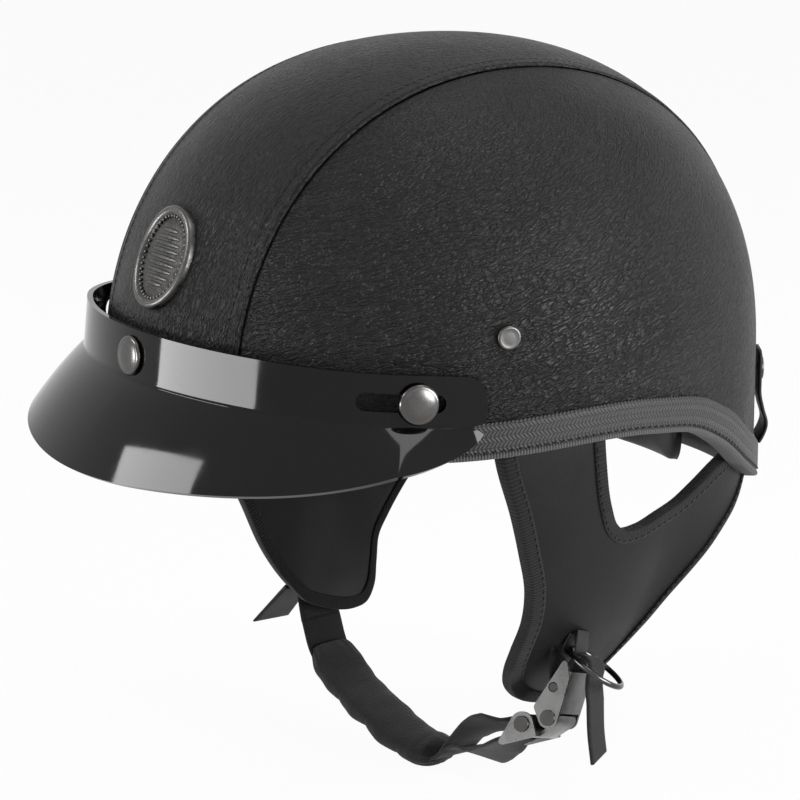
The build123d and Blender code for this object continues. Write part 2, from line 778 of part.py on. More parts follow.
def plate_pair(plane, inner, wall):
    """Sketch planes of the two side plates, each with the direction to extrude."""
    return ((plane.offset(inner), wall), (plane.offset(-inner), -wall))


def headed_pin(plane, radius, half_length, head_radius, head_wall):
    """Pin along the plane's normal with a flat head at each end."""
    with BuildPart() as pin:
        with BuildSketch(plane.offset(-half_length)):
            Circle(radius)
        extrude(amount=2 * half_length)
        for start in (-half_length - head_wall, half_length):
            with BuildSketch(plane.offset(start)):
                Circle(head_radius)
            extrude(amount=head_wall)
    return pin.part


pivot_plane = Plane(origin=buckle_plane.from_local_coords(Vector(-pin_spacing, 0, 0)),
                    x_dir=buckle_plane.x_dir, z_dir=buckle_plane.z_dir)
ear_inside = buckle_width / 2 - ear_plate
save(headed_pin(pivot_plane, pin_radius, buckle_width / 2 + soft_gap, pin_head_radius,
                pin_head_wall), "pivot_pin")

# Buckle frame: two ears, a short base and a hook that cradles the latch pin
hook_middle = pin_radius + hook_clear + base_wall / 2
base_middle = -base_drop - base_wall / 2
base_end = Vector(-pin_spacing + base_far, base_middle)
hook_way = degrees(-pi + asin(-base_end.Y / base_end.length)) + degrees(
    pi / 2 - asin(hook_middle / base_end.length))
hook_start = Vector(hook_middle * cos(radians(hook_way)), hook_middle * sin(radians(hook_way)))
with BuildPart() as buckle_frame:
    for plane, wall in plate_pair(pivot_plane, ear_inside, ear_plate):
        with BuildSketch(plane):
            Circle(ear_radius)
            with Locations((-buckle_nose + base_wall, base_middle + base_wall / 2)):
                Circle(base_wall)
            with Locations((base_far - base_wall / 2, base_middle)):
                Circle(base_wall / 2)
            make_hull()
            Circle(pin_radius + pin_clear, mode=Mode.SUBTRACT)
        extrude(amount=wall)
    with BuildSketch(pivot_plane):
        with Locations(((base_near + base_far) / 2, base_middle)):
            Rectangle(base_far - base_near, base_wall)
    extrude(amount=ear_inside + ear_plate / 2, both=True)
    with BuildSketch(buckle_plane):
        with BuildLine() as hook_path:
            Line(base_end - Vector(base_wall / 2, 0), base_end)
            Line(base_end, hook_start)
            ThreePointArc(hook_start, (hook_middle * cos(radians(hook_way / 2)),
                                       hook_middle * sin(radians(hook_way / 2))), (hook_middle, 0))
        trace(line_width=base_wall)
    extrude(amount=hook_width / 2, both=True)
save(buckle_frame.part, "buckle_frame")

# Release lever: a channel of two flanges and a web, open towards the flap
flange_inside = lever_width / 2 - lever_plate
with BuildPart() as release_lever:
    for plane, wall in plate_pair(lever_plane, flange_inside, lever_plate):
        with BuildSketch(plane):
            for along, across, size in lever_disc_shares:
                with Locations((lever_rise * along, lever_rise * across)):
                    Circle(lever_foot * size)
            make_hull()
            Circle(pin_radius + layer_gap, mode=Mode.SUBTRACT)
            with Locations((bar_rise, bar_inset)):
                Circle(bar_radius + pin_clear, mode=Mode.SUBTRACT)
        extrude(amount=wall)
    with BuildSketch(lever_plane):
        with Locations(((lever_web_foot + lever_rise * lever_web_share) / 2,
                        -lever_outer + lever_plate / 2)):
            Rectangle(lever_rise * lever_web_share - lever_web_foot, lever_plate)
    extrude(amount=flange_inside + lever_plate / 2, both=True)
save(release_lever.part, "release_lever")
save(headed_pin(lever_plane, pin_radius, lever_width / 2, pin_head_radius, pin_head_wall),
     "latch_pin")
bar_plane = Plane(origin=lever_plane.from_local_coords(Vector(bar_rise, bar_inset, 0)),
                  x_dir=lever_plane.x_dir, z_dir=lever_plane.z_dir)
with BuildPart() as strap_bar:
    with BuildSketch(bar_plane):
        Circle(bar_radius)
    extrude(amount=lever_width / 2, both=True)
save(strap_bar.part, "strap_bar")


def strip(stations, width, wall):
    """Flat strap through stations of place, run and width direction."""
    with BuildPart() as strap:
        for spot, run, across in stations:
            with BuildSketch(Plane(origin=spot, x_dir=across, z_dir=run)):
                Rectangle(width, wall)
        loft()
    return strap.part


def square_across(run, across):
    """Width direction turned square to the run."""
    return (across - run * across.dot(run)).normalized()


def stations_through(spots, ways, first_run=None, last_run=None):
    """Stations through the spots, with the run taken from the neighbours."""
    stations = []
    for place, spot in enumerate(spots):
        before = spots[max(place - 1, 0)]
        after = spots[min(place + 1, len(spots) - 1)]
        run = (after - before).normalized()
        if place == 0 and first_run:
            run = first_run
        if place == len(spots) - 1 and last_run:
            run = last_run
        stations.append((spot, run, square_across(run, ways[place])))
    return stations


# Left strap: from the flap's slit round the bar, up through the ring, folded over, and its tail
bar_loop = bar_radius + soft_gap + web_wall / 2
with BuildPart() as strap_run:
    with BuildSketch(lever_plane):
        with BuildLine() as run_path:
            Line((slit_place, slit_inset), (bar_rise, bar_inset + bar_loop))
            ThreePointArc((bar_rise, bar_inset + bar_loop), (bar_rise - bar_loop, bar_inset),
                          (bar_rise, bar_inset - bar_loop))
            Line((bar_rise, bar_inset - bar_loop), (fold_place, bar_inset - bar_loop))
            ThreePointArc((fold_place, bar_inset - bar_loop),
                          (fold_place + fold_radius, bar_inset - bar_loop - fold_radius),
                          (fold_place, bar_inset - bar_loop - 2 * fold_radius))
            Line((fold_place, bar_inset - bar_loop - 2 * fold_radius),
                 (tail_top, bar_inset - bar_loop - 2 * fold_radius))
        trace(line_width=web_wall)
    extrude(amount=left_web / 2, both=True)
tail_start = lever_plane.from_local_coords(
    Vector(tail_top, bar_inset - bar_loop - 2 * fold_radius, 0))
tail_spots = [tail_start + lever_plane.x_dir * web_wall, tail_start]
tail_spots += [tail_start + Vector(*s) * tail_length for s in tail_shares]
tail_ways = [lever_plane.z_dir] * 2 + [Vector(*way) for way in tail_turns]
with BuildPart() as left_strap:
    add(strap_run.part)
    add(flap_sheet(layer_gap, -foam_wall, left_hang_radius), mode=Mode.SUBTRACT)
    add(strip(stations_through(tail_spots, tail_ways, first_run=-lever_plane.x_dir),
              left_web - layer_gap, web_wall - layer_gap))
save(left_strap.part.solids().sort_by(SortBy.VOLUME)[-1], "left_strap")

# Keeper ring, drooping from its tab
ring_out = Vector(-sin(radians(ring_droop)), -cos(radians(ring_droop)), 0)
ring_half = (ring_short - ring_wire) / 2
ring_shift = ring_out * (ring_half - ring_seat)
ring_middle = lever_plane.from_local_coords(Vector(ring_rise, ring_inset, 0) + ring_shift)
ring_side = (lever_plane.from_local_coords(ring_out) - lever_plane.origin).normalized()
ring_plane = Plane(origin=ring_middle, x_dir=ring_side, z_dir=ring_side.cross(lever_plane.z_dir))
with BuildPart() as keeper_ring:
    with BuildLine(ring_plane) as wire:
        EllipticalCenterArc((0, 0), ring_half, (ring_long - ring_wire) / 2, arc_size=360)
    with BuildSketch(Plane(origin=wire.line @ 0, z_dir=wire.line % 0)):
        Circle(ring_wire / 2)
    sweep()
save(keeper_ring.part, "keeper_ring")
tab_loop = ring_wire / 2 + tab_clear + tab_wall / 2
with BuildPart() as ring_tab:
    with BuildSketch(lever_plane):
        with BuildLine() as tab_path:
            Line((ring_rise + tab_reach, ring_inset + tab_loop / 2), (ring_rise, ring_inset + tab_loop))
            ThreePointArc((ring_rise, ring_inset + tab_loop), (ring_rise - tab_loop, ring_inset),
                          (ring_rise, ring_inset - tab_loop))
            Line((ring_rise, ring_inset - tab_loop),
                 (ring_rise + tab_reach * 4 / 3, ring_inset - tab_loop / 2))
        trace(line_width=tab_wall)
    extrude(amount=tab_width / 2, both=True)
    add(flap_sheet(layer_gap, -foam_wall, left_hang_radius), mode=Mode.SUBTRACT)
save(ring_tab.part.solids().sort_by(SortBy.VOLUME)[-1], "ring_tab")

# Chin strap: root sewn inside the right flap, sling through the pad, doubled loop round the pivot
forward = Vector(0, 1, 0)
root_spots = [Vector(*s) * chin_span for s in root_shares]
with BuildPart() as strap_root:
    add(strip(stations_through(root_spots, [forward] * len(root_spots)), chin_web, web_wall))
    for piece in right_flap:
        add(piece, mode=Mode.SUBTRACT)
save(strap_root.part.solids().sort_by(SortBy.VOLUME)[-1], "right_strap_root")
pin_loop = pin_radius + soft_gap + web_wall / 2
sling_spots = [Vector(*s) * chin_span for s in sling_shares]
pin_way = -Vector(*pin_direction)
sling_ways = [forward * (1 - t) + pin_way * t for t in twist_shares]
strand_ways = [forward * 3 / 4 + pin_way / 4, forward / 2 + pin_way / 2,
               forward / 4 + pin_way * 3 / 4, pin_way, pin_way]
sling_run = (sling_spots[-1] - sling_spots[-2]).normalized()


def strand(shares, low):
    """One strand of the doubled webbing, from the pad's end to the pivot pin."""
    spots = [sling_spots[-1] - sling_run * web_wall] + [Vector(*s) * chin_span for s in shares]
    spots.append(pivot_plane.from_local_coords(Vector(-buckle_nose, low, 0)))
    spots.append(pivot_plane.from_local_coords(Vector(0, low, 0)))
    ways = [sling_ways[-1]] + strand_ways
    return strip(stations_through(spots, ways, last_run=pivot_plane.x_dir),
                 chin_web - layer_gap, web_wall - layer_gap)


with BuildPart() as pin_bend:
    with BuildSketch(pivot_plane):
        with BuildLine():
            Line((-web_wall, pin_loop), (0, pin_loop))
            ThreePointArc((0, pin_loop), (pin_loop, 0), (0, -pin_loop))
            Line((0, -pin_loop), (-web_wall, -pin_loop))
        trace(line_width=web_wall)
    extrude(amount=chin_web / 2, both=True)
chin_sling = strip(stations_through(sling_spots, sling_ways), chin_web, web_wall)
with BuildPart() as chin_webbing:
    add(chin_sling)
    add(strand(lower_shares, -pin_loop))
    add(strand(upper_shares, pin_loop))
    add(pin_bend.part)
    for plane, wall in plate_pair(pivot_plane, ear_inside - soft_gap, pad_depth):
        with BuildSketch(plane):
            Circle(buckle_nose + base_wall + ear_plate)
        extrude(amount=wall, mode=Mode.SUBTRACT)
    for plane, wall in plate_pair(pivot_plane, flange_inside - soft_gap, pad_depth):
        with BuildSketch(plane):
            Circle(pin_loop + web_wall)
        extrude(amount=wall, mode=Mode.SUBTRACT)
save(chin_webbing.part, "chin_webbing")

# Chin pad: a puffed sleeve round the sling
sling_line = Spline(*sling_spots[1:])
with BuildPart() as chin_pad:
    for k in range(pad_steps + 1):
        share = k / pad_steps
        size = pad_waist + (1 - pad_waist) * abs(sin(pi * pad_puffs * share))
        with BuildSketch(Plane(origin=sling_line @ share, z_dir=sling_line % share,
                               x_dir=square_across(sling_line % share, forward))):
            RectangleRounded(pad_width * size, pad_depth * size, pad_corner * size)
    loft(ruled=True)
    add(strip(stations_through(sling_spots, sling_ways), chin_web + soft_gap, web_wall + soft_gap),
        mode=Mode.SUBTRACT)
    add(chin_webbing.part, mode=Mode.SUBTRACT)
save(chin_pad.part, "chin_pad")

# Leather tongue on the right flap's outer face
tongue_way = Vector(*tongue_direction).normalized()
tongue_plane = Plane(origin=tongue_spot, z_dir=tongue_way, x_dir=square_across(tongue_way, forward))
with BuildPart() as right_tongue:
    with BuildSketch(tongue_plane.offset(-tongue_wall)):
        Rectangle(tongue_width, tongue_wall)
    with BuildSketch(tongue_plane.offset(tongue_length)):
        Rectangle(tongue_width, tongue_wall / 2)
    loft()
    for piece in right_flap:
        add(piece, mode=Mode.SUBTRACT)
save(right_tongue.part.solids().sort_by(SortBy.VOLUME)[-1], "right_tongue")
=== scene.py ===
"""Half shell motorcycle helmet: leather dome, glossy press-studded peak, ear flaps, chin strap.

Shapes are worked out in millimetres and brought to metres when a piece is finished.
The origin is the centre of the head opening, +Z up, -Y forward, +X the wearer's left.
"""
from math import atan2, cos, hypot, pi, radians, sin, sqrt

import bmesh
import bpy
from bpy.props import FloatProperty, FloatVectorProperty, PointerProperty
from mathutils import Matrix, Vector


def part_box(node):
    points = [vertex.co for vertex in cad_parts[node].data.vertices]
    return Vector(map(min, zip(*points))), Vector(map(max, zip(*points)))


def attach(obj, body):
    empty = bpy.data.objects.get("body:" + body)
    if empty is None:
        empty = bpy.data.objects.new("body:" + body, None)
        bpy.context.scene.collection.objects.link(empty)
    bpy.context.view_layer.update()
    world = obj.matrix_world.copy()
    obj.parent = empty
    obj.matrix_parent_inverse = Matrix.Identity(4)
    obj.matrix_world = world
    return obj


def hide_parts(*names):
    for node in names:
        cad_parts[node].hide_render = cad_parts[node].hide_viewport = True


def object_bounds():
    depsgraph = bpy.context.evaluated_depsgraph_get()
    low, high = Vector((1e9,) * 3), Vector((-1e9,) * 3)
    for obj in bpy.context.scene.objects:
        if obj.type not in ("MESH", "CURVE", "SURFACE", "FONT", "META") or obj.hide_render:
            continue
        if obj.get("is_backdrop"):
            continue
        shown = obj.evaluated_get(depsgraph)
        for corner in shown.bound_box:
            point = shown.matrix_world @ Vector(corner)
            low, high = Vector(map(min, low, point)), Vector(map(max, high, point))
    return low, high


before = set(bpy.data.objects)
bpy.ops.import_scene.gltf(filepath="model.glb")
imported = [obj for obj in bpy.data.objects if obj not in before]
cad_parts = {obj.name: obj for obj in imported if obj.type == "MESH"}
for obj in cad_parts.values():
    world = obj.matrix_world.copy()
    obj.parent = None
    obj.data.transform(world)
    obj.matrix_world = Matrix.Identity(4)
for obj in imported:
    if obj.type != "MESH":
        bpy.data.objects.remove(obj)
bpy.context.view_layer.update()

bl_info = {
    "name": "Half shell helmet",
    "version": (1, 0, 0),
    "blender": (4, 5, 0),
    "location": "View3D > Sidebar > Helmet",
    "description": "Builds the looks of a leather half shell helmet around its solid parts",
    "category": "Object",
}

# Roundness of the dome's upright curve
CROWN_POWER = 2.23
# Rim in side view, as shares of the rear reach and the nape drop
RIM_SHARES = (
    (-1.10, -0.07), (-0.53, -0.135), (0.11, -0.145), (0.285, -0.225),
    (0.42, -0.37), (0.605, -0.64), (0.84, -0.90), (1.10, -1.0),
)
# Flap outlines in side view, as shares of a flap's span to the back and of its drop
LEFT_FLAP_EDGE = (
    (-0.43, 0.09), (-0.425, 0.04), (-0.395, -0.129), (-0.319, -0.299), (-0.260, -0.428),
    (-0.195, -0.568), (-0.169, -0.681), (-0.168, -0.775), (-0.157, -0.853), (-0.133, -0.902),
    (-0.059, -0.968), (0.080, -1.019), (0.215, -1.030), (0.325, -0.990), (0.425, -0.915),
    (0.500, -0.812), (0.567, -0.710), (0.634, -0.640), (0.719, -0.570), (0.799, -0.511),
    (0.90, -0.455), (1.0, -0.395), (1.08, -0.32),
)
RIGHT_FLAP_EDGE = (
    (-0.465, 0.09), (-0.475, 0.04), (-0.475, -0.12), (-0.465, -0.30), (-0.435, -0.478),
    (-0.367, -0.614), (-0.303, -0.760), (-0.230, -0.862), (-0.194, -0.899), (-0.142, -0.944),
    (-0.062, -0.975), (0.033, -0.999), (0.085, -1.003), (0.161, -0.993), (0.214, -0.953),
    (0.257, -0.878), (0.297, -0.801), (0.361, -0.740), (0.431, -0.678), (0.496, -0.623),
    (0.598, -0.544), (0.78, -0.43), (0.92, -0.33), (1.0, -0.262),
)
LEFT_FLAP_NOTCH = (
    (0.95, -0.235), (0.86, -0.275), (0.70, -0.311), (0.598, -0.343), (0.496, -0.377),
    (0.38, -0.397), (0.271, -0.415), (0.17, -0.409), (0.121, -0.379), (0.078, -0.317),
    (0.021, -0.154), (0.0, 0.04), (0.0, 0.09),
)
RIGHT_FLAP_NOTCH = (
    (0.88, -0.208), (0.64, -0.285), (0.43, -0.346), (0.22, -0.39), (0.155, -0.392),
    (0.10, -0.32), (0.04, -0.154), (0.02, 0.04), (0.015, 0.09),
)
# Height of the folded seam edge at depths in from the seam, as shares, and depths of the cuts there
FOLD_SHAPE = (
    (0.0, 0.1), (0.45, 1.0), (1.0, 0.85), (1.5, 0.45), (2.0, 0.8), (4.6, 0.75), (5.3, 0.25),
    (5.9, 0.35), (6.8, 0.1), (8.0, 0.0),
)
FOLD_CUTS = (0.2, 0.45, 1.0, 1.5, 2.0, 3.0, 4.6, 5.3, 5.9, 6.8, 8.0)
# How much of the binding's width shows round a flap's edge, from the front top to the back
BINDING_SHARE = (1, 1, 1, 1, 1, 1, 1, 1, 0.8, 0.6, 0.5, 0.5, 0.5, 0.5, 0.5, 0.5)
# Latch pin's place, directions of the pins and of the left strap, and the lever's turn in degrees
LATCH_SPOT = Vector((84.9, -3.2, -129.1))
PIN_WAY = Vector((0.40, -0.84, 0.366)).normalized()
STRAP_WAY = Vector((0.772, 0.523, 0.361)).normalized()
LEVER_TURN = 60.4
SIDES = ((1, "left"), (-1, "right"))
# Radii at which the leather is unrolled over the crown, round the sides and up them
OVER_RADIUS, ROUND_RADIUS, UP_RADIUS = 135.0, 125.0, 130.0
# Turn in degrees and level of the strap rivets and of the goggle keepers, and the badge's level
RIVET_TURN, RIVET_LEVEL = 69.5, 35.5
KEEPER_TURN, KEEPER_LEVEL = 149.0, -12.5
BADGE_LEVEL = 57.0
# Upright curve of a flap's sheet in plan: its radius and centre, and the left one's straight back
FLAP_RADIUS, FLAP_CENTRE = 156.5, Vector((-51.0, 10.0))
FLAP_BACK_START, FLAP_BACK_LENGTH = 42.0, 53.0
# Filled by the first call of rim_level
RIM_LINE = []


def length(name, default, description):
    """A size in the panel, in metres."""
    return FloatProperty(name=name, description=description, default=default, unit="LENGTH",
                         precision=4)


def tint(name, default, description):
    """A colour in the panel."""
    return FloatVectorProperty(name=name, description=description, default=default, subtype="COLOR",
                               size=3, min=0.0, max=1.0)


class HelmetSizes(bpy.types.PropertyGroup):
    """Sizes of the pieces that the looks add."""

    half_width: length("Half width", 0.1168, "Middle to the leather at the side")
    front_reach: length("Front reach", 0.1359, "Middle to the leather at the front")
    rear_reach: length("Rear reach", 0.1405, "Middle to the leather at the back")
    crown_height: length("Crown height", 0.1292, "Widest level up to the crown")
    nape_drop: length("Nape drop", 0.064, "Widest level down to the lowest rim")
    seam_place: length("Seam place", 0.0455, "Middle to each seam between the panels")
    fold_rise: length("Fold rise", 0.0007, "How far the folded seam edge stands up")
    stitch: length("Stitch length", 0.0024, "Length of one stitch")
    trim_height: length("Trim height", 0.0135, "Height of the braided trim")
    lining_inset: length("Lining inset", 0.0221, "Leather to the outer face of the lining")
    lining_wall: length("Lining wall", 0.0059, "Thickness of the lining")
    peak_wall: length("Peak wall", 0.0022, "Thickness of the peak")
    peak_band: length("Peak band", 0.0205, "Height of the peak's upright band")
    flap_drop: length("Flap drop", 0.130, "Widest level down to a flap's lowest point")
    flap_span: length("Flap span", 0.100, "Reach of a flap's outline to the back")
    binding_width: length("Binding width", 0.0055, "Width of the fabric binding on a flap's face")
    chin_web: length("Chin webbing width", 0.0199, "Width of the chin strap")
    left_web: length("Left webbing width", 0.0149, "Width of the strap on the left flap")
    web_wall: length("Webbing wall", 0.0014, "Thickness of the webbing")
    pad_width: length("Pad width", 0.0235, "Width of the padded sleeve under the chin")
    pad_depth: length("Pad depth", 0.0095, "Depth of the padded sleeve under the chin")


class HelmetColours(bpy.types.PropertyGroup):
    """Colours of the finishes."""

    leather: tint("Leather", (0.009, 0.009, 0.0092), "Pebbled leather on the shell")
    flap_leather: tint("Flap leather", (0.0075, 0.0075, 0.0078), "Smooth leather of the ear flaps")
    lining: tint("Lining", (0.020, 0.020, 0.021), "Cloth lining")
    trim: tint("Trim", (0.030, 0.030, 0.031), "Braided rim trim")
    trim_edge: tint("Trim edge", (0.060, 0.060, 0.062), "Rolled lower edge of the trim")
    peak: tint("Peak", (0.002, 0.002, 0.002), "Glossy moulded peak")
    fabric: tint("Fabric", (0.007, 0.007, 0.0075), "Webbing, binding and thread")
    nickel: tint("Nickel", (0.09, 0.088, 0.086), "Dark nickel snaps and rivets")
    steel: tint("Steel", (0.12, 0.12, 0.118), "Satin buckle")
    dark_steel: tint("Dark steel", (0.07, 0.07, 0.072), "Keeper ring")
    foam: tint("Foam", (0.03, 0.03, 0.03), "Impact foam")
    floor: tint("Floor", (0.88, 0.88, 0.88), "Studio floor")


def size(name):
    """One of the panel's sizes, in millimetres."""
    return getattr(bpy.context.scene.helmet_sizes, name) * 1000


def colour(name, share=1.0):
    """One of the panel's colours, made lighter or darker by a share."""
    return (*(min(c * share, 1.0) for c in getattr(bpy.context.scene.helmet_colours, name)), 1.0)


# Shape helpers


class Dome:
    """Shell form drawn in by an inset: an upright wall below and a rounded crown above."""

    def __init__(self, inset=0.0):
        self.width = size("half_width") - inset
        self.front = size("front_reach") - inset
        self.rear = size("rear_reach") - inset
        self.height = size("crown_height") - inset

    def reach(self, forward):
        """Reach of the front or the rear half."""
        return self.front if forward else self.rear

    def at(self, turn, level):
        """Spot at a turn in radians round from the front, at a level."""
        rise = min(max(level / self.height, 0.0), 1.0)
        share = (1 - rise ** CROWN_POWER) ** (1 / CROWN_POWER)
        reach = self.reach(cos(turn) > 0)
        return Vector((self.width * share * sin(turn), -reach * share * cos(turn), level))

    def climb(self, turn, low, share):
        """Spot at a share of the way from the level low up to the crown."""
        run = share * (1.25 * self.height - low)
        if run < -low:
            return self.at(turn, low + run)
        angle = (run + low) / (1.25 * self.height) * pi / 2
        level = self.height * sin(angle) ** (2 / CROWN_POWER)
        spread = cos(angle) ** (2 / CROWN_POWER) if share < 1 else 0.0
        reach = self.reach(cos(turn) > 0)
        return Vector((self.width * spread * sin(turn), -reach * spread * cos(turn), level))

    def over(self, x, y):
        """Spot over a place in plan, or None outside the dome."""
        reach = self.reach(y < 0)
        share = hypot(x / self.width, y / reach)
        if share > 1:
            return None
        return Vector((x, y, self.height * (1 - share ** CROWN_POWER) ** (1 / CROWN_POWER)))

    def way(self, spot):
        """Direction straight out of the dome at a spot."""
        reach = self.reach(spot.y < 0)
        share = hypot(spot.x / self.width, spot.y / reach)
        steep = share ** (CROWN_POWER - 2) if share > 0 else 0.0
        rise = max(spot.z, 0.0) / self.height
        return Vector((steep * spot.x / self.width ** 2, steep * spot.y / reach ** 2,
                       rise ** (CROWN_POWER - 1) / self.height)).normalized()


def line_through(points, steps):
    """Smooth line through the points, with even steps between each two."""
    points = [Vector(p) for p in points]
    line = []
    for place in range(len(points) - 1):
        start, end = points[place], points[place + 1]
        before = points[place - 1] if place else start * 2 - end
        after = points[place + 2] if place + 2 < len(points) else end * 2 - start
        near, mid = (start - before).length or 1, (end - start).length
        far = (after - end).length or 1
        leave = ((start - before) / near * mid + (end - start) / mid * near) / (near + mid)
        reach = ((end - start) / mid * far + (after - end) / far * mid) / (mid + far)
        for step in range(steps):
            t = step / steps
            line.append(start * (2 * t ** 3 - 3 * t ** 2 + 1)
                        + leave * mid * (t ** 3 - 2 * t ** 2 + t)
                        + end * (3 * t ** 2 - 2 * t ** 3) + reach * mid * (t ** 3 - t ** 2))
    return line + [points[-1]]


def between(spots, place):
    """Spot at a place in a list, counted in items and parts of an item."""
    first = min(int(place), len(spots) - 2)
    return spots[first].lerp(spots[first + 1], place - first)


def along(line, share):
    """Spot and run at a share of a line's number of steps."""
    place = min(max(share, 0.0), 1.0) * (len(line) - 1)
    first = min(int(place), len(line) - 2)
    return between(line, place), (line[first + 1] - line[first]).normalized()


def evenly(line, spacing):
    """Spots on a line at an even spacing, each with its run."""
    spots, travelled, target = [], 0.0, 0.0
    for start, end in zip(line, line[1:]):
        step = (end - start).length
        while step and target <= travelled + step:
            spots.append((start.lerp(end, (target - travelled) / step), (end - start).normalized()))
            target += spacing
        travelled += step
    return spots


def line_length(line):
    """Length of a line."""
    return sum((b - a).length for a, b in zip(line, line[1:]))


def scaled_line(shares, across, up, steps):
    """Smooth flat line through spots given as shares of two sizes."""
    return line_through([(across * a, up * b, 0) for a, b in shares], steps)


def rim_level(y):
    """Level of the rim's lower edge at a place along the helmet, with its slope."""
    if not RIM_LINE:
        RIM_LINE.extend(scaled_line(RIM_SHARES, size("rear_reach"), size("nape_drop"), 24))
    for start, end in zip(RIM_LINE, RIM_LINE[1:]):
        if y <= end.x or end is RIM_LINE[-1]:
            slope = (end.y - start.y) / (end.x - start.x)
            return start.y + (y - start.x) * slope, slope


def rim_spot(dome, turn, out, lift):
    """Spot on the dome's wall, pushed out, lifted square to the rim's lower edge."""
    flat = dome.at(turn, 0.0)
    level, slope = rim_level(flat.y)
    way = dome.way(flat)
    return flat + way * out + Vector((0, 0, level + lift * sqrt(1 + slope ** 2)))


def outward(bm):
    """The piece with its normals turned outwards."""
    bmesh.ops.recalc_face_normals(bm, faces=bm.faces[:])
    return bm


def faced(bm, count):
    """The piece, turned over where what count(face) gives adds up to less than nothing."""
    if sum(count(face) for face in bm.faces) < 0:
        bmesh.ops.reverse_faces(bm, faces=bm.faces[:])
    return bm


def mapped_grid(columns, rows, place, uv=(1.0, 1.0), closed=False):
    """Grid whose points go where place(u, v) says; uv is the UV map's size, or gives its spots."""
    flat = uv if callable(uv) else lambda u, v: (u * uv[0], v * uv[1])
    bm = bmesh.new()
    bmesh.ops.create_grid(bm, x_segments=columns, y_segments=rows, size=0.5)
    layer = bm.loops.layers.uv.verify()
    for face in bm.faces:
        for loop in face.loops:
            loop[layer].uv = flat(loop.vert.co.x + 0.5, loop.vert.co.y + 0.5)
    for vert in bm.verts:
        vert.co = place(min(max(vert.co.x + 0.5, 0.0), 1.0), min(max(vert.co.y + 0.5, 0.0), 1.0))
    if closed:
        bmesh.ops.remove_doubles(bm, verts=bm.verts[:], dist=1e-4)
    return bm


def lathe(profile, steps=48):
    """Piece turned about Z from pairs of radius and height."""
    bm = bmesh.new()
    verts = [bm.verts.new((radius, 0, height)) for radius, height in profile]
    edges = [bm.edges.new(pair) for pair in zip(verts, verts[1:])]
    bmesh.ops.spin(bm, geom=verts + edges, cent=(0, 0, 0), axis=(0, 0, 1), angle=2 * pi,
                   steps=steps, use_merge=True)
    bmesh.ops.remove_doubles(bm, verts=bm.verts[:], dist=1e-4)
    return outward(bm)


def axes(origin, x, y, z):
    """Matrix that carries X, Y and Z onto three directions at an origin."""
    matrix = Matrix((x, y, z)).transposed().to_4x4()
    matrix.translation = origin
    return matrix


def stand(origin, way, first=Vector((0, 0, 1))):
    """Matrix that stands a piece's Z on a direction, with its X near the first direction."""
    z = way.normalized()
    x = (first - z * first.dot(z)).normalized()
    return axes(origin, x, z.cross(x), z)


def moved(bm, matrix):
    """The piece moved by a matrix."""
    bmesh.ops.transform(bm, matrix=matrix, verts=bm.verts[:])
    return bm


def joined(pieces):
    """Several pieces as one."""
    whole = pieces[0]
    for piece in pieces[1:]:
        mesh = bpy.data.meshes.new("joining")
        piece.to_mesh(mesh)
        piece.free()
        whole.from_mesh(mesh)
        bpy.data.meshes.remove(mesh)
    return whole


def ribbon(line, ways, width, wall, across=8, puff=None):
    """Closed strap along a line; ways gives its width direction at a share of the line."""
    corner = 0.3
    ring = [(width * (part / across - 0.5) * (1 - 2 * corner * wall / width), wall / 2)
            for part in range(across + 1)]
    ring += [(width / 2, wall * (0.5 - corner)), (width / 2, -wall * (0.5 - corner))]
    ring += [(-x, -y) for x, y in ring]
    around = len(ring)

    def place(u, v):
        spot, run = along(line, u)
        way = ways(u)
        way = (way - run * way.dot(run)).normalized()
        x, y = ring[round(v * around) % around]
        x, y = puff(u, x, y) if puff else (x, y)
        return spot + way * x + run.cross(way) * y

    bm = mapped_grid(len(line) - 1, around, place, (line_length(line), 2 * width), closed=True)
    return capped(bm)


def capped(bm):
    """The tube with its open ends filled."""
    bmesh.ops.holes_fill(bm, edges=[e for e in bm.edges if e.is_boundary], sides=0)
    return outward(bm)


def blended_ways(ways):
    """Function that gives the direction at a share of the way through a list of directions."""
    def way(share):
        return between(ways, min(max(share, 0.0), 1.0) * (len(ways) - 1)).normalized()
    return way


def stitches(spots, way, stitch, width=0.62, rise=0.3):
    """Row of stitches lying on the given spots; way gives the direction out of the cloth."""
    bm = bmesh.new()
    for spot, run in spots:
        out = way(spot)
        turn = stand(spot + out * rise * 0.2, out, run)
        bmesh.ops.create_icosphere(bm, subdivisions=1, radius=0.5,
                                   matrix=turn @ Matrix.Diagonal((stitch, width, rise * 2, 1)))
    return bm


def linked(name, data):
    """New object in the scene that shows the data."""
    obj = bpy.data.objects.new(name, data)
    bpy.context.scene.collection.objects.link(obj)
    return obj


def as_object(bm, name, unit=0.001):
    """Object in metres from a mesh in millimetres, or in another unit."""
    bmesh.ops.scale(bm, vec=(unit, unit, unit), verts=bm.verts[:])
    mesh = bpy.data.meshes.new(name)
    bm.to_mesh(mesh)
    bm.free()
    return linked(name, mesh)


def bevelled(obj, width, segments, angle):
    """Round the object's edges that are sharper than an angle in degrees."""
    edge = obj.modifiers.new("Edge", "BEVEL")
    edge.width = width / 1000
    edge.segments = segments
    edge.limit_method = "ANGLE"
    edge.angle_limit = radians(angle)


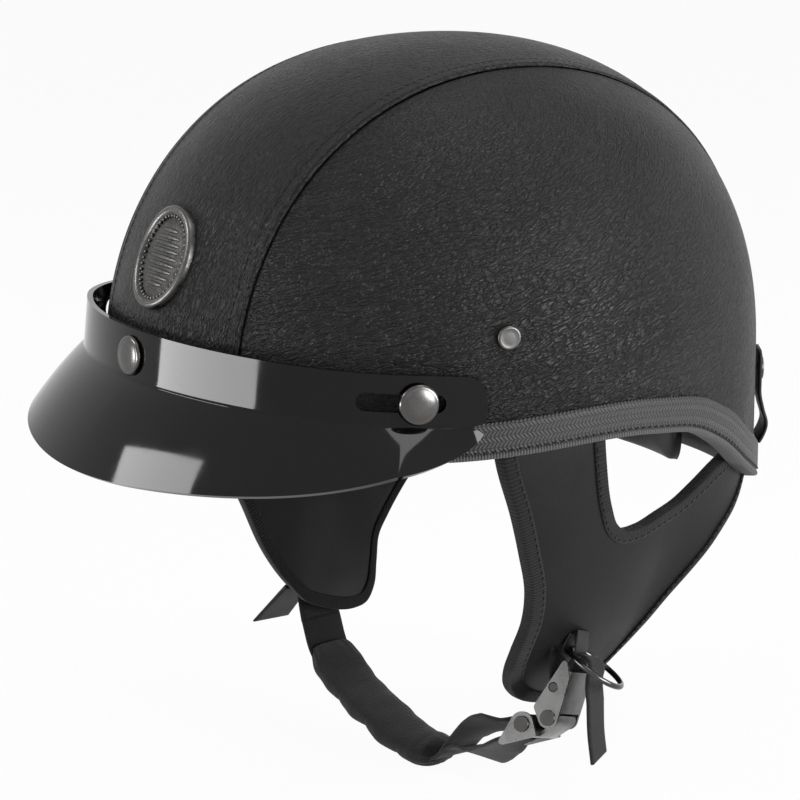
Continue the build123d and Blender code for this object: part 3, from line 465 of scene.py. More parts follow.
def piece(bm, name, body, material, slot=None, instead_of=(), sharp=None, wall=None, offset=-1.0,
          bevel=None):
    """Finished object in metres from a mesh in millimetres, riding on its body."""
    obj = as_object(bm, name)
    obj.data.materials.append(material)
    obj.data.polygons.foreach_set("use_smooth", [True] * len(obj.data.polygons))
    if sharp:
        obj.data.set_sharp_from_angle(angle=radians(sharp))
    if wall:
        solid = obj.modifiers.new("Wall", "SOLIDIFY")
        solid.thickness = wall / 1000
        solid.offset = offset
    if bevel:
        bevelled(obj, bevel, 2, 35)
    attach(obj, body)
    if instead_of:
        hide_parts(*instead_of)
    return obj


def settled(obj):
    """The object with its modifiers made part of its mesh."""
    graph = bpy.context.evaluated_depsgraph_get()
    mesh = bpy.data.meshes.new_from_object(obj.evaluated_get(graph))
    obj.modifiers.clear()
    obj.data = mesh
    return obj


def cad_copy(node, name, body, material, bevel):
    """Copy of a solid part with merged points, rounded edges and smooth curved faces."""
    bm = bmesh.new()
    bm.from_mesh(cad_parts[node].data)
    bmesh.ops.scale(bm, vec=(1000, 1000, 1000), verts=bm.verts[:])
    bmesh.ops.remove_doubles(bm, verts=bm.verts[:], dist=0.002)
    bmesh.ops.dissolve_limit(bm, angle_limit=radians(1.0), verts=bm.verts[:], edges=bm.edges[:])
    return piece(bm, name, body, material, slot="nickel", instead_of=(node,), sharp=30, bevel=bevel)


# Finishes


class Nodes:
    """A node tree, with short ways to add to it."""

    def __init__(self, tree):
        self.tree = tree

    def node(self, kind, links=None, values=None, **settings):
        """Add a node, set it up and link it."""
        node = self.tree.nodes.new(kind)
        for key, value in settings.items():
            setattr(node, key, value)
        for key, value in (values or {}).items():
            node.inputs[key].default_value = value
        for key, source in (links or {}).items():
            self.tree.links.new(source, node.inputs[key])
        return node

    def maths(self, operation, *terms):
        """Math node over numbers and sockets."""
        numbers = {k: term for k, term in enumerate(terms) if isinstance(term, (int, float))}
        sockets = {k: term for k, term in enumerate(terms) if k not in numbers}
        return self.node("ShaderNodeMath", sockets, numbers, operation=operation).outputs[0]

    def spread(self, value, low, high, out_low, out_high):
        """Value brought from one range to another."""
        return self.node("ShaderNodeMapRange", {"Value": value},
                         {"From Min": low, "From Max": high, "To Min": out_low,
                          "To Max": out_high}).outputs[0]

    def facing(self):
        """1 for camera, glossy and transmission rays, 0 for the others."""
        rays = self.node("ShaderNodeLightPath").outputs
        return self.maths("MAXIMUM", rays["Is Camera Ray"],
                          self.maths("MAXIMUM", rays["Is Glossy Ray"], rays["Is Transmission Ray"]))


class Finish(Nodes):
    """A material under construction; scales are per metre on objects and per unit on UV maps."""

    def __init__(self, name, base, roughness, **sockets):
        self.material = bpy.data.materials.new(name)
        self.material.use_nodes = True
        super().__init__(self.material.node_tree)
        self.shader = self.tree.nodes["Principled BSDF"]
        self.shader.inputs["Base Color"].default_value = base
        self.shader.inputs["Roughness"].default_value = roughness
        for socket, value in sockets.items():
            self.shader.inputs[socket.replace("_", " ")].default_value = value

    def place(self, kind="Object"):
        """Pattern coordinates."""
        return self.node("ShaderNodeTexCoord").outputs[kind]

    def flat(self):
        """The UV map's two directions."""
        return self.node("ShaderNodeSeparateXYZ", {"Vector": self.place("UV")}).outputs[:2]

    def noise(self, scale, detail=3.0, roughness=0.5, distortion=0.0, place=None):
        """Noise pattern."""
        return self.node("ShaderNodeTexNoise", {"Vector": place or self.place()},
                         {"Scale": scale, "Detail": detail, "Roughness": roughness,
                          "Distortion": distortion}).outputs["Fac"]

    def cells(self, scale):
        """Cell pattern."""
        return self.node("ShaderNodeTexVoronoi", {"Vector": self.place()},
                         {"Scale": scale}).outputs["Distance"]

    def wave(self, value, pitch):
        """Sine wave over a value."""
        return self.maths("SINE", self.maths("MULTIPLY", value, 2 * pi / pitch))

    def off(self, value, middle):
        """How far a value is from a middle."""
        return self.maths("ABSOLUTE", self.maths("SUBTRACT", value, middle))

    def mix(self, factor, first, second):
        """Blend of two colours."""
        node = self.node("ShaderNodeMix", {"Factor": factor}, data_type="RGBA")
        node.inputs[6].default_value = first
        node.inputs[7].default_value = second
        return node.outputs[2]

    def shade(self, factor, tone, low, high):
        """Blend of two shares of one of the panel's colours."""
        return self.mix(factor, colour(tone, low), colour(tone, high))

    def bump(self, height, distance, strength=1.0, under=None):
        """Bump from a height, over another bump where one is given."""
        links = {"Height": height, "Normal": under} if under else {"Height": height}
        return self.node("ShaderNodeBump", links,
                         {"Strength": strength, "Distance": distance}).outputs[0]

    def wear(self, **patterns):
        """The material, with patterns linked to its shader's sockets."""
        for socket, source in patterns.items():
            self.tree.links.new(source, self.shader.inputs[socket.replace("_", " ")])
        return self.material


def pebbled_leather(name, slant):
    """Leather with soft creases, painted darker as shade; slant is their angle on the flat hide, in
    degrees.
    """
    f = Finish(name, colour("leather"), 0.45, Specular_IOR_Level=0.17)
    turned = f.node("ShaderNodeMapping", {"Vector": f.place("UV")},
                    {"Rotation": (0, 0, radians(-slant))})
    place = f.node("ShaderNodeMapping", {"Vector": turned.outputs[0]},
                   {"Scale": (0.3, 1, 1)}).outputs[0]
    wander = f.noise(0.09, 2.0, place=place)
    broad = f.noise(22.0)
    coarse, close = (
        f.spread(f.off(f.noise(scale, 1.0, 0.5, 0.3, place), 0.5), 0.0, sharp, 0.0, 1.0)
        for scale, sharp in ((0.52, 0.085), (0.95, 0.12)))
    crease = f.maths("ADD", f.maths("MULTIPLY", coarse, 0.6), f.maths("MULTIPLY", close, 0.4))
    height = f.maths("MULTIPLY", crease, f.spread(broad, 0.35, 0.7, 0.6, 1.0))
    # Base colour darker along the crease lines, under a slow random change of tone: painted shade
    # in the creases
    depth = f.maths("MULTIPLY", crease, f.spread(wander, 0.3, 0.7, 0.6, 1.0))
    grain = f.bump(f.noise(1700.0, 3.0, 0.6), 0.00008, 0.5)
    return f.wear(Normal=f.bump(height, 0.0009, 1.0, grain),
                  Base_Color=f.shade(depth, "leather", 0.35, 1.25),
                  Roughness=f.spread(broad, 0.3, 0.7, 0.40, 0.50))


def smooth_leather(name, tone, share=1.0, low=0.40, high=0.55):
    """Fine smooth leather with a faint grain and soft clouding."""
    f = Finish(name, colour(tone, share), 0.5, Specular_IOR_Level=0.13)
    broad = f.noise(35.0, 4.0)
    return f.wear(Normal=f.bump(broad, 0.0006, 0.5, f.bump(f.cells(1500.0), 0.00006, 0.5)),
                  Base_Color=f.shade(broad, tone, share * 0.8, share * 1.25),
                  Roughness=f.spread(broad, 0.3, 0.7, low, high))


def ribbed_fabric(name, tone, pitch=0.9, share=1.0, across=0.0):
    """Woven tape: ribs along the UV map's first direction, in millimetres, with painted shade in
    the grooves and painted highlight on the crests.
    """
    f = Finish(name, colour(tone, share), 0.78, Sheen_Weight=0.08, Sheen_Roughness=0.45,
               Specular_IOR_Level=0.15)
    run, side = f.flat()
    rib = f.wave(run, pitch)
    if across:
        rib = f.maths("MULTIPLY", rib, f.wave(side, across))
    rib = f.spread(rib, -1.0, 1.0, 0.0, 1.0)
    fuzz = f.noise(2600.0, 2.0)
    # The ribs' height also sets the base colour: painted shade in the grooves, painted highlight on
    # the crests
    return f.wear(Normal=f.bump(rib, 0.00022, 0.8, f.bump(fuzz, 0.00008, 0.5)),
                  Base_Color=f.shade(rib, tone, share * 0.6, share * 1.5),
                  Roughness=f.spread(fuzz, 0.3, 0.7, 0.68, 0.88))


def knit_cloth(name, tone, share=1.0):
    """Soft lining cloth."""
    f = Finish(name, colour(tone, share), 0.9, Sheen_Weight=0.1, Sheen_Roughness=0.6,
               Specular_IOR_Level=0.12)
    loops, broad = f.cells(900.0), f.noise(40.0)
    return f.wear(Normal=f.bump(loops, 0.00025, 0.7, f.bump(broad, 0.0008, 0.3)),
                  Base_Color=f.shade(loops, tone, share * 1.2, share * 0.7),
                  Roughness=f.spread(broad, 0.3, 0.7, 0.82, 0.95))


def herringbone(name, tone, row=2.15, step=1.5):
    """Braided band: slanted strands that change direction from row to row, with painted shade in
    the grooves and painted highlight on the crests.
    """
    f = Finish(name, colour(tone), 0.5, Specular_IOR_Level=0.3)
    run, side = f.flat()
    zig = f.maths("PINGPONG", side, row)
    strand = f.wave(f.maths("ADD", run, f.maths("MULTIPLY", zig, 0.75)), step)
    edge = f.spread(f.off(zig, row / 2), row * 0.36, row * 0.5, 1.0, 0.0)
    height = f.maths("MULTIPLY", f.spread(strand, -0.6, 0.9, 0.0, 1.0), edge)
    fuzz = f.noise(1400.0)
    # The strands' height also sets the base colour: painted shade in the grooves and along the row
    # edges, painted highlight on the strand crests
    return f.wear(Normal=f.bump(height, 0.00042, 0.9, f.bump(fuzz, 0.00010, 0.6)),
                  Base_Color=f.shade(height, tone, 0.45, 1.6),
                  Roughness=f.spread(fuzz, 0.3, 0.7, 0.42, 0.6))


def glossy_moulding(name, tone):
    """Polished black plastic with the faintest waviness and dust."""
    f = Finish(name, colour(tone), 0.05, Specular_IOR_Level=0.2)
    smear = f.noise(60.0, 5.0, 0.65)
    return f.wear(Normal=f.bump(f.noise(14.0, 1.0), 0.0006, 0.12),
                  Base_Color=f.shade(smear, tone, 0.8, 1.6),
                  Roughness=f.spread(smear, 0.3, 0.75, 0.04, 0.10))


def metal(name, tone, roughness):
    """Plated metal with faint handling marks and patchy roughness."""
    f = Finish(name, colour(tone), roughness, Metallic=1.0)
    marks, broad = f.noise(700.0, 4.0, 0.6), f.noise(120.0)
    return f.wear(Normal=f.bump(marks, 0.00003, 0.5, f.bump(broad, 0.0001, 0.25)),
                  Base_Color=f.shade(marks, tone, 0.86, 1.0),
                  Roughness=f.spread(broad, 0.3, 0.7, roughness * 0.75, roughness * 1.35))


def plain_moulding(name, tone, share=1.0, roughness=0.7):
    """Plain moulded plastic or foam, lightly mottled."""
    f = Finish(name, colour(tone, share), roughness)
    mottle = f.cells(420.0)
    return f.wear(Normal=f.bump(mottle, 0.0002, 0.5),
                  Base_Color=f.shade(mottle, tone, share * 0.8, share * 1.2),
                  Roughness=f.spread(mottle, 0.0, 0.8, roughness * 0.9, min(roughness * 1.15, 1)))


def finish_node(node, material):
    """Give a solid part that stays in view its finish."""
    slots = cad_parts[node].data.materials
    if not slots:
        slots.append(material)
    for place in range(len(slots)):
        slots[place] = material


# Leather shell


def fold_height(depth):
    """Height of the folded seam edge at a depth in from the seam."""
    for (a, low), (b, high) in zip(FOLD_SHAPE, FOLD_SHAPE[1:]):
        if depth <= b:
            return (low + (high - low) * (depth - a) / (b - a)) * size("fold_rise")
    return 0.0


def leather_dome(columns=300, rows=100):
    """Whole outer skin, open at the rim."""
    dome = Dome()

    def place(u, v):
        turn = 2 * pi * u
        low = rim_level(dome.at(turn, 0.0).y)[0] + 2.8
        return dome.climb(turn, low, v)

    return faced(outward(mapped_grid(columns, rows, place, closed=True)),
                 lambda face: face.calc_center_median().dot(face.normal))


def cut(bm, x, way, clear=False):
    """Cut the piece along an upright plane across it, and drop what lies beyond where asked."""
    bmesh.ops.bisect_plane(bm, geom=bm.verts[:] + bm.edges[:] + bm.faces[:], dist=1e-5,
                           plane_co=(x, 0, 0), plane_no=(way, 0, 0), clear_outer=clear)


def seam_line(x, lift):
    """Line over the leather at one distance from the middle, from the front trim to the back."""
    dome = Dome()
    far = sqrt(1 - (x / dome.width) ** 2)
    halves = []
    for way in (-1, 1):
        half = [dome.over(x, way * far * sin(pi / 2 * step / 80) * dome.reach(way < 0) * 0.99999)
                for step in range(81)]
        wall = half[-1]
        foot = rim_level(wall.y)[0] + size("trim_height") + 0.5
        half += [Vector((wall.x, wall.y, wall.z + (foot - wall.z) * step / 8))
                 for step in range(1, 9)]
        halves.append(half)
    return [spot + dome.way(spot) * lift for spot in halves[0][::-1] + halves[1][1:]]


def unrolled(bm, flat):
    """Keep where each corner lies on the flat hide, in millimetres, as the UV map."""
    uv = bm.loops.layers.uv.verify()
    for face in bm.faces:
        for loop in face.loops:
            loop[uv].uv = flat(loop.vert.co)


class HELMET_OT_leather(bpy.types.Operator):
    """Three leather panels with folded and stitched seams"""

    bl_idname = "helmet.leather"
    bl_label = "Leather panels"

    def execute(self, context):
        seam = size("seam_place")
        dome = Dome()
        centre = leather_dome()
        for side in (1, -1):
            cut(centre, side * seam, side, clear=True)
            for depth in FOLD_CUTS:
                cut(centre, side * (seam - depth), side)
        for vert in centre.verts:
            vert.co += dome.way(vert.co) * fold_height(seam - abs(vert.co.x))
        unrolled(centre, lambda co: (atan2(co.y, co.z) * OVER_RADIUS, co.x))
        piece(centre, "centre_panel", "shell", pebbled_leather("centre_leather", 6.0),
              slot="leather_black", instead_of=("leather_centre_panel", "seam_folds"), wall=1.1)
        for side, name in SIDES:
            panel = leather_dome()
            gap, turn_in = 0.25, 1.2
            inner = side * (seam + gap)
            cut(panel, inner, -side, clear=True)
            for depth in (0.25, 0.6, turn_in):
                cut(panel, inner + side * depth, -side)
            for vert in panel.verts:
                depth = abs(vert.co.x) - seam - gap
                if depth < turn_in:
                    vert.co -= dome.way(vert.co) * 0.75 * (1 - depth / turn_in) ** 2
            unrolled(panel, lambda co: (atan2(co.y, abs(co.x)) * ROUND_RADIUS,
                                        atan2(co.z, hypot(co.x, co.y)) * UP_RADIUS))
            piece(panel, f"{name}_panel", "shell", pebbled_leather(f"{name}_leather", 20.0),
                  slot="leather_black", instead_of=(f"leather_{name}_panel",), wall=1.1)
        thread = ribbed_fabric("seam_thread", "fabric", pitch=0.5)
        rows = []
        for side in (1, -1):
            for depth, rise in ((1.5, 0.45), (5.3, 0.25)):
                line = seam_line(side * (seam - depth), rise * size("fold_rise"))
                rows.append(stitches(evenly(line, size("stitch") + 0.9), dome.way, size("stitch")))
        piece(joined(rows), "seam_stitches", "shell", thread, slot="leather_black")
        return {"FINISHED"}


# Rim trim and liners


def rim_sweep(profile, columns=420):
    """Closed band that follows the rim, from a closed profile of outward and upward distances."""
    dome = Dome()
    around = len(profile)
    ring = [dome.at(2 * pi * k / 360, 0) for k in range(361)]
    total = line_length(ring)
    heights = [0.0]
    for (a, b), (c, d) in zip(profile, profile[1:] + profile[:1]):
        heights.append(heights[-1] + hypot(c - a, d - b))

    def place(u, v):
        out, lift = profile[round(v * around) % around]
        return rim_spot(dome, 2 * pi * u, out, lift)

    def flat(u, v):
        return u * total, heights[round(v * around)]

    return outward(mapped_grid(columns, around, place, flat, closed=True))


class HELMET_OT_trim(bpy.types.Operator):
    """Braided trim with a rolled pale edge and a row of stitches along the rim"""

    bl_idname = "helmet.trim"
    bl_label = "Rim trim"

    def execute(self, context):
        top = size("trim_height")
        # Profiles as pairs of distances, out from the leather and up from the rim's edge
        outside = [(0.05, top), (0.9, top + 0.25), (1.6, top - 0.1), (1.9, top - 0.9)]
        outside += [(1.95, top - 0.9 - k) for k in range(1, 10)]
        outside += [(1.75, 2.6), (1.15, 2.3), (0.05, 2.6)]
        piece(rim_sweep(outside), "trim_braid", "shell", herringbone("trim_braid", "trim"),
              slot="trim_black", instead_of=("rim_trim",), sharp=60)
        roll = [(0.05, 2.6), (1.2, 2.25), (1.75, 1.9), (1.98, 1.2), (1.8, 0.45), (1.1, 0.02),
                (0.0, -0.1), (-4.8, -0.1), (-5.7, 0.1), (-6.2, 0.8), (-6.2, 8.4), (-5.6, 9.0),
                (-4.9, 8.6), (-4.9, 2.6)]
        piece(rim_sweep(roll), "trim_roll", "shell",
              ribbed_fabric("trim_roll", "trim_edge", pitch=1.1, share=0.8),
              slot="trim_black", sharp=60)
        dome = Dome()
        line = [rim_spot(dome, 2 * pi * k / 720, 1.82, 3.0) for k in range(721)]
        row = stitches(evenly(line, 3.4), lambda spot: dome.way(Vector((spot.x, spot.y, 0))), 2.4,
                       0.75, 0.4)
        piece(row, "trim_stitches", "shell", ribbed_fabric("trim_thread", "fabric", pitch=0.5),
              slot="trim_black")
        return {"FINISHED"}


class HELMET_OT_liners(bpy.types.Operator):
    """Cloth lining with sewn channels, nape pad, and finishes of the shell and foam"""

    bl_idname = "helmet.liners"
    bl_label = "Liners"

    def execute(self, context):
        inset, wall = size("lining_inset"), size("lining_wall")
        inner = Dome(inset + wall)
        edge_lift, channels = 16.0, 5

        def place(u, v):
            turn = 2 * pi * u
            flat = inner.at(turn, 0.0)
            level, slope = rim_level(flat.y)
            low = level + edge_lift * sqrt(1 + slope ** 2)
            spot = inner.climb(turn, low + 1.0, v)
            puff = abs(sin(channels * turn)) ** 0.5 * min(1.0, 6 * v) * min(1.0, 2.5 * (1 - v))
            roll = max(0.0, 1 - v * 26)
            return spot + inner.way(spot) * (1.8 * (1 - puff) + 2.5 * roll ** 2)

        bm = faced(outward(mapped_grid(240, 70, place, closed=True)),
                   lambda face: -face.calc_center_median().dot(face.normal))
        lining = piece(bm, "cloth_lining", "shell", knit_cloth("lining_cloth", "lining"),
                       slot="lining_grey", instead_of=("comfort_liner",), wall=2.6)
        low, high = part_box("nape_pad")
        middle, wide, tall = (reach * 500 for reach in (low.z + high.z, high.x - low.x,
                                                        high.z - low.z))

        def pad_place(face):
            def spot(u, v):
                a, b = 2 * u - 1, 2 * v - 1
                round_a = a * sqrt(1 - b * b / 2)
                round_b = b * sqrt(1 - a * a / 2)
                x = wide * (0.35 * a + 0.65 * round_a)
                z = middle + tall * (0.35 * b + 0.65 * round_b)
                edge = max(0.0, 1 - max(abs(a), abs(b)) ** 4)
                outer = Dome(inset + wall + (0.6 if face else 6.6 * edge ** 0.5 + 0.6))
                share = sqrt(max(0.0, 1 - (x / outer.width) ** 2))
                return Vector((x, outer.rear * share, z))
            return spot

        pad = joined([mapped_grid(40, 24, pad_place(face)) for face in (True, False)])
        bmesh.ops.remove_doubles(pad, verts=pad.verts[:], dist=0.01)
        nape = piece(outward(pad), "nape_cushion", "shell",
                     smooth_leather("nape_leather", "fabric"), slot="pad_black",
                     instead_of=("nape_pad",))
        finish_node("hard_shell", plain_moulding("shell_moulding", "foam", 0.6, 0.45))
        finish_node("eps_liner", plain_moulding("impact_foam", "foam"))
        finish_node("strap_anchors", metal("anchor_steel", "steel", 0.4))
        return {"FINISHED"}


# Peak and press studs

# Origin and tilt of the peak's own plan, the side studs' place, and the left ear end of the brim
PEAK_ORIGIN = Vector((0, 0, -4.8))
PEAK_TILT = radians(6.5)
PEAK_UP = Vector((0, sin(PEAK_TILT), cos(PEAK_TILT)))
PEAK_BACK = Vector((0, cos(PEAK_TILT), -sin(PEAK_TILT)))
SIDE_SNAP_LEVEL = 16.5
SIDE_TURN = 54.2
EAR_END = Vector((106.35, -56.6, 4.1))
# Oval of the brim's edge in plan, its level and fall to the front, its droop at the sides, and
# the share of its half length where the ear begins
BRIM_HALF_WIDTH, BRIM_CENTRE, BRIM_REACH = 114.0, -67.0, 99.8
BRIM_LEVEL, BRIM_FALL, BRIM_DROOP = 3.5, 21.5, 4.5
EAR_SHARE = 0.8


def peak_level(front_reach):
    """Level of the front press stud."""
    return PEAK_ORIGIN.z + PEAK_UP.y / PEAK_UP.z * front_reach + size("peak_band") / 2


def peak_flat(spot):
    """Place of a spot in the peak's own tilted plan."""
    from_origin = spot - PEAK_ORIGIN
    return Vector((from_origin.x, from_origin.dot(PEAK_BACK)))


def peak_spot(x, y, z):
    """Spot of the peak's tilted plan brought back to the helmet."""
    return PEAK_ORIGIN + Vector((x, 0, 0)) + PEAK_BACK * y + PEAK_UP * z


def arc(start, way, end, steps):
    """Flat arc that leaves a place along a way and reaches an end: spots, with the way at each."""
    chord = end - start
    side = Vector((-way.y, way.x))
    radius = chord.length_squared / (2 * chord.dot(side))
    centre = start + side * radius
    sweep = 2 * atan2(chord.dot(side), chord.dot(way))
    spots = []
    for step in range(steps + 1):
        turn = Matrix.Rotation(sweep * step / steps, 2)
        spots.append((centre + turn @ (start - centre), turn @ way))
    return spots


def band_half():
    """Left half of the band's inner face in plan: spots with ways, and the side stud's place."""
    dome = Dome()
    front = peak_level(dome.front)
    stands = ((0.0, front, 3.8), (33.0, (front + SIDE_SNAP_LEVEL) / 2, 7.0),
              (SIDE_TURN, SIDE_SNAP_LEVEL, 3.0))
    flats = []
    for turn, level, out in stands:
        turn = radians(turn)
        spot = dome.at(turn, level)
        way = Vector((spot.x / dome.width ** 2, spot.y / dome.front ** 2, 0)).normalized()
        flats.append(peak_flat(spot + way * out))
    nose = arc(flats[0], Vector((1, 0)), flats[1], 40)
    flank = arc(flats[1], nose[-1][1], flats[2], 36)
    end, way = flank[-1]
    ear = [(end + way * 27.0 * step / 36, way) for step in range(1, 37)]
    return nose + flank[1:] + ear, (end, way)


def brim_edge(share):
    """Spot of the brim's outer edge: share 0 at the front, 1 and -1 at the ears."""
    side = 1 if share > 0 else -1
    share = abs(share)
    angle = min(share, EAR_SHARE) * pi / 2
    droop = min(1.0, max(0.0, (share - 0.2) / 0.6))
    level = BRIM_LEVEL - BRIM_FALL * cos(angle) - BRIM_DROOP * droop * droop * (3 - 2 * droop)
    spot = Vector((BRIM_HALF_WIDTH * sin(angle), BRIM_CENTRE - BRIM_REACH * cos(angle), level))
    if share > EAR_SHARE:
        t = (share - EAR_SHARE) / 0.2
        end = EAR_END - spot
        spot += end * t * t * (3 - 2 * t) + Vector((6.0, 29.6, 0.5)) * t * (1 - t) ** 2
        spot += Vector((-1.0, 8.0, 33.0)) * t * t * (t - 1)
    return Vector((spot.x * side, spot.y, spot.z))


def side_stud(side):
    """Matrix of a side press stud on the ear's inner face: X back along the ear, Z out."""
    _, (flat, way) = band_half()
    origin = peak_spot(flat.x * side, flat.y, size("peak_band") / 2)
    out = peak_spot(way.y * side, -way.x, 0) - PEAK_ORIGIN
    run = peak_spot(way.x * side, way.y, 0) - PEAK_ORIGIN
    return stand(origin, out, run)


def front_stud():
    """Matrix of the front press stud on the leather."""
    dome = Dome()
    return stand(dome.at(0.0, peak_level(dome.front)), Vector((0, -PEAK_UP.z, PEAK_UP.y)))


def stadium(reach_back, reach_ahead, width, depth):
    """Rounded slot cutter lying along X."""
    bm = bmesh.new()
    for x in (-reach_ahead, reach_back):
        bmesh.ops.create_cone(bm, segments=40, radius1=width / 2, radius2=width / 2, depth=depth,
                              matrix=Matrix.Translation((x, 0, 0)))
    bmesh.ops.delete(bm, geom=bm.edges[:] + bm.faces[:], context="EDGES_FACES")
    hull = bmesh.ops.convex_hull(bm, input=bm.verts[:])
    spare = set(hull["geom_interior"] + hull["geom_unused"])
    bmesh.ops.delete(bm, geom=list(spare), context="VERTS")
    return outward(bm)


class HELMET_OT_peak(bpy.types.Operator):
    """Glossy peak: an upright band, a drooping brim and a slot round each side stud"""

    bl_idname = "helmet.peak"
    bl_label = "Peak"

    def execute(self, context):
        half, _ = band_half()
        wall, band = size("peak_wall"), size("peak_band")
        mid = [(spot + Vector((way.y, -way.x)) * wall / 2, way) for spot, way in half]
        ends = [0.0]
        for (a, _), (b, _) in zip(mid, mid[1:]):
            ends.append(ends[-1] + (b - a).length)
        total = ends[-1]
        columns = []
        for side in (-1, 1):
            run = list(zip(mid, ends))
            for (spot, way), reach in (reversed(run) if side < 0 else run[1:]):
                columns.append((spot.x * side, spot.y, side * reach / total, total - reach))
        band_rows, crease_rows, brim_rows = 9, 3, 16
        rows = band_rows + crease_rows + brim_rows

        def place(u, v):
            x, y, share, left = columns[round(u * (len(columns) - 1))]
            row = round(v * rows)
            top = band - 10.6 * (1 - sqrt(1 - max(0.0, 1 - left / 9.0) ** 2))
            foot = wall / 2 + 4.8 * max(0.0, 1 - left / 12.0) ** 2
            if row <= band_rows:
                return peak_spot(x, y, top + (foot + 1.6 - top) * row / band_rows)
            t = (row - band_rows) / (rows - band_rows)
            t = t * t * (0.35 * (1 - t) + 1) if t < 1 else 1.0
            spot = peak_spot(x, y, foot).lerp(brim_edge(share), t)
            spot.z += 2.4 * 4 * t * (1 - t) * (1 - abs(share))
            lift = max(0, band_rows + crease_rows - row) / crease_rows
            return spot + PEAK_UP * lift ** 2

        bm = faced(mapped_grid(len(columns) - 1, rows, place),
                   lambda face: face.normal.dot(Vector((0, -1, 0.3))) * face.calc_area())
        peak = piece(bm, "glossy_peak", "peak_body", glossy_moulding("peak_gloss", "peak"),
                     slot="peak_black", instead_of=("peak",), wall=wall, offset=0.0)
        for side in (1, -1):
            slot_cut = stadium(reach_back=7.6, reach_ahead=19.0, width=6.7, depth=12.0)
            cutter = as_object(moved(slot_cut, side_stud(side)), "slot_cut")
            take = peak.modifiers.new("Slot", "BOOLEAN")
            take.operation = "DIFFERENCE"
            take.solver = "EXACT"
            take.object = cutter
            settled(peak)
            bpy.data.objects.remove(cutter)
        if len(peak.data.polygons) < (len(columns) - 1) * rows:
            raise RuntimeError("the slots could not be cut out of the peak")
        peak.data.set_sharp_from_angle(angle=radians(50))
        bevelled(peak, 0.4, 3, 50)
        return {"FINISHED"}


def snap_cap(radius, rise, steps):
    """Press stud cap: rolled edge, groove and a low dome."""
    shares = ((1.0, 0.22), (0.985, 0.5), (0.93, 0.72), (0.86, 0.80), (0.80, 0.78), (0.72, 0.86),
              (0.5, 0.96), (0.25, 1.0), (0.0, 1.0))
    foot = [(0.0, 0.0), (radius * 0.8, 0.0), (radius * 0.96, 0.02)]
    return lathe(foot + [(radius * a, rise * b) for a, b in shares], steps)


class HELMET_OT_studs(bpy.types.Operator):
    """Press stud caps on the peak and rivets on the leather"""

    bl_idname = "helmet.studs"
    bl_label = "Press studs and rivets"

    def execute(self, context):
        dome = Dome()
        nickel = metal("nickel", "nickel", 0.2)
        cap_size = (7.6, 2.2, 64)
        front = front_stud() @ Matrix.Translation((0, 0, 6.0))
        piece(moved(snap_cap(*cap_size), front), "front_cap", "peak_body", nickel,
              slot="nickel", instead_of=("front_snap_cap",))
        for side, name in SIDES:
            beside = side_stud(side) @ Matrix.Translation((0, 0, 3.35))
            piece(moved(snap_cap(*cap_size), beside), f"{name}_cap", "shell", nickel,
                  slot="nickel", instead_of=(f"{name}_snap_cap",))
            spot = dome.at(side * radians(RIVET_TURN), RIVET_LEVEL)
            flat_way = Vector((spot.x / dome.width ** 2, spot.y / dome.front ** 2, 0))
            rivet = lathe([(0.0, -2.0), (4.5, -2.0), (4.5, 1.2), (4.42, 1.5), (4.1, 1.75),
                           (3.6, 1.8), (3.4, 1.74), (2.0, 1.82), (0.0, 1.85)])
            piece(moved(rivet, stand(spot, flat_way)), f"{name}_rivet", "shell",
                  metal(f"{name}_rivet_nickel", "nickel", 0.32), slot="nickel",
                  instead_of=(f"{name}_strap_rivet",))
            for node in (f"{name}_snap_stud", f"{name}_snap_socket", f"{name}_keeper_stud"):
                finish_node(node, nickel)
        finish_node("front_snap_stud", nickel)
        finish_node("front_snap_socket", nickel)
        return {"FINISHED"}


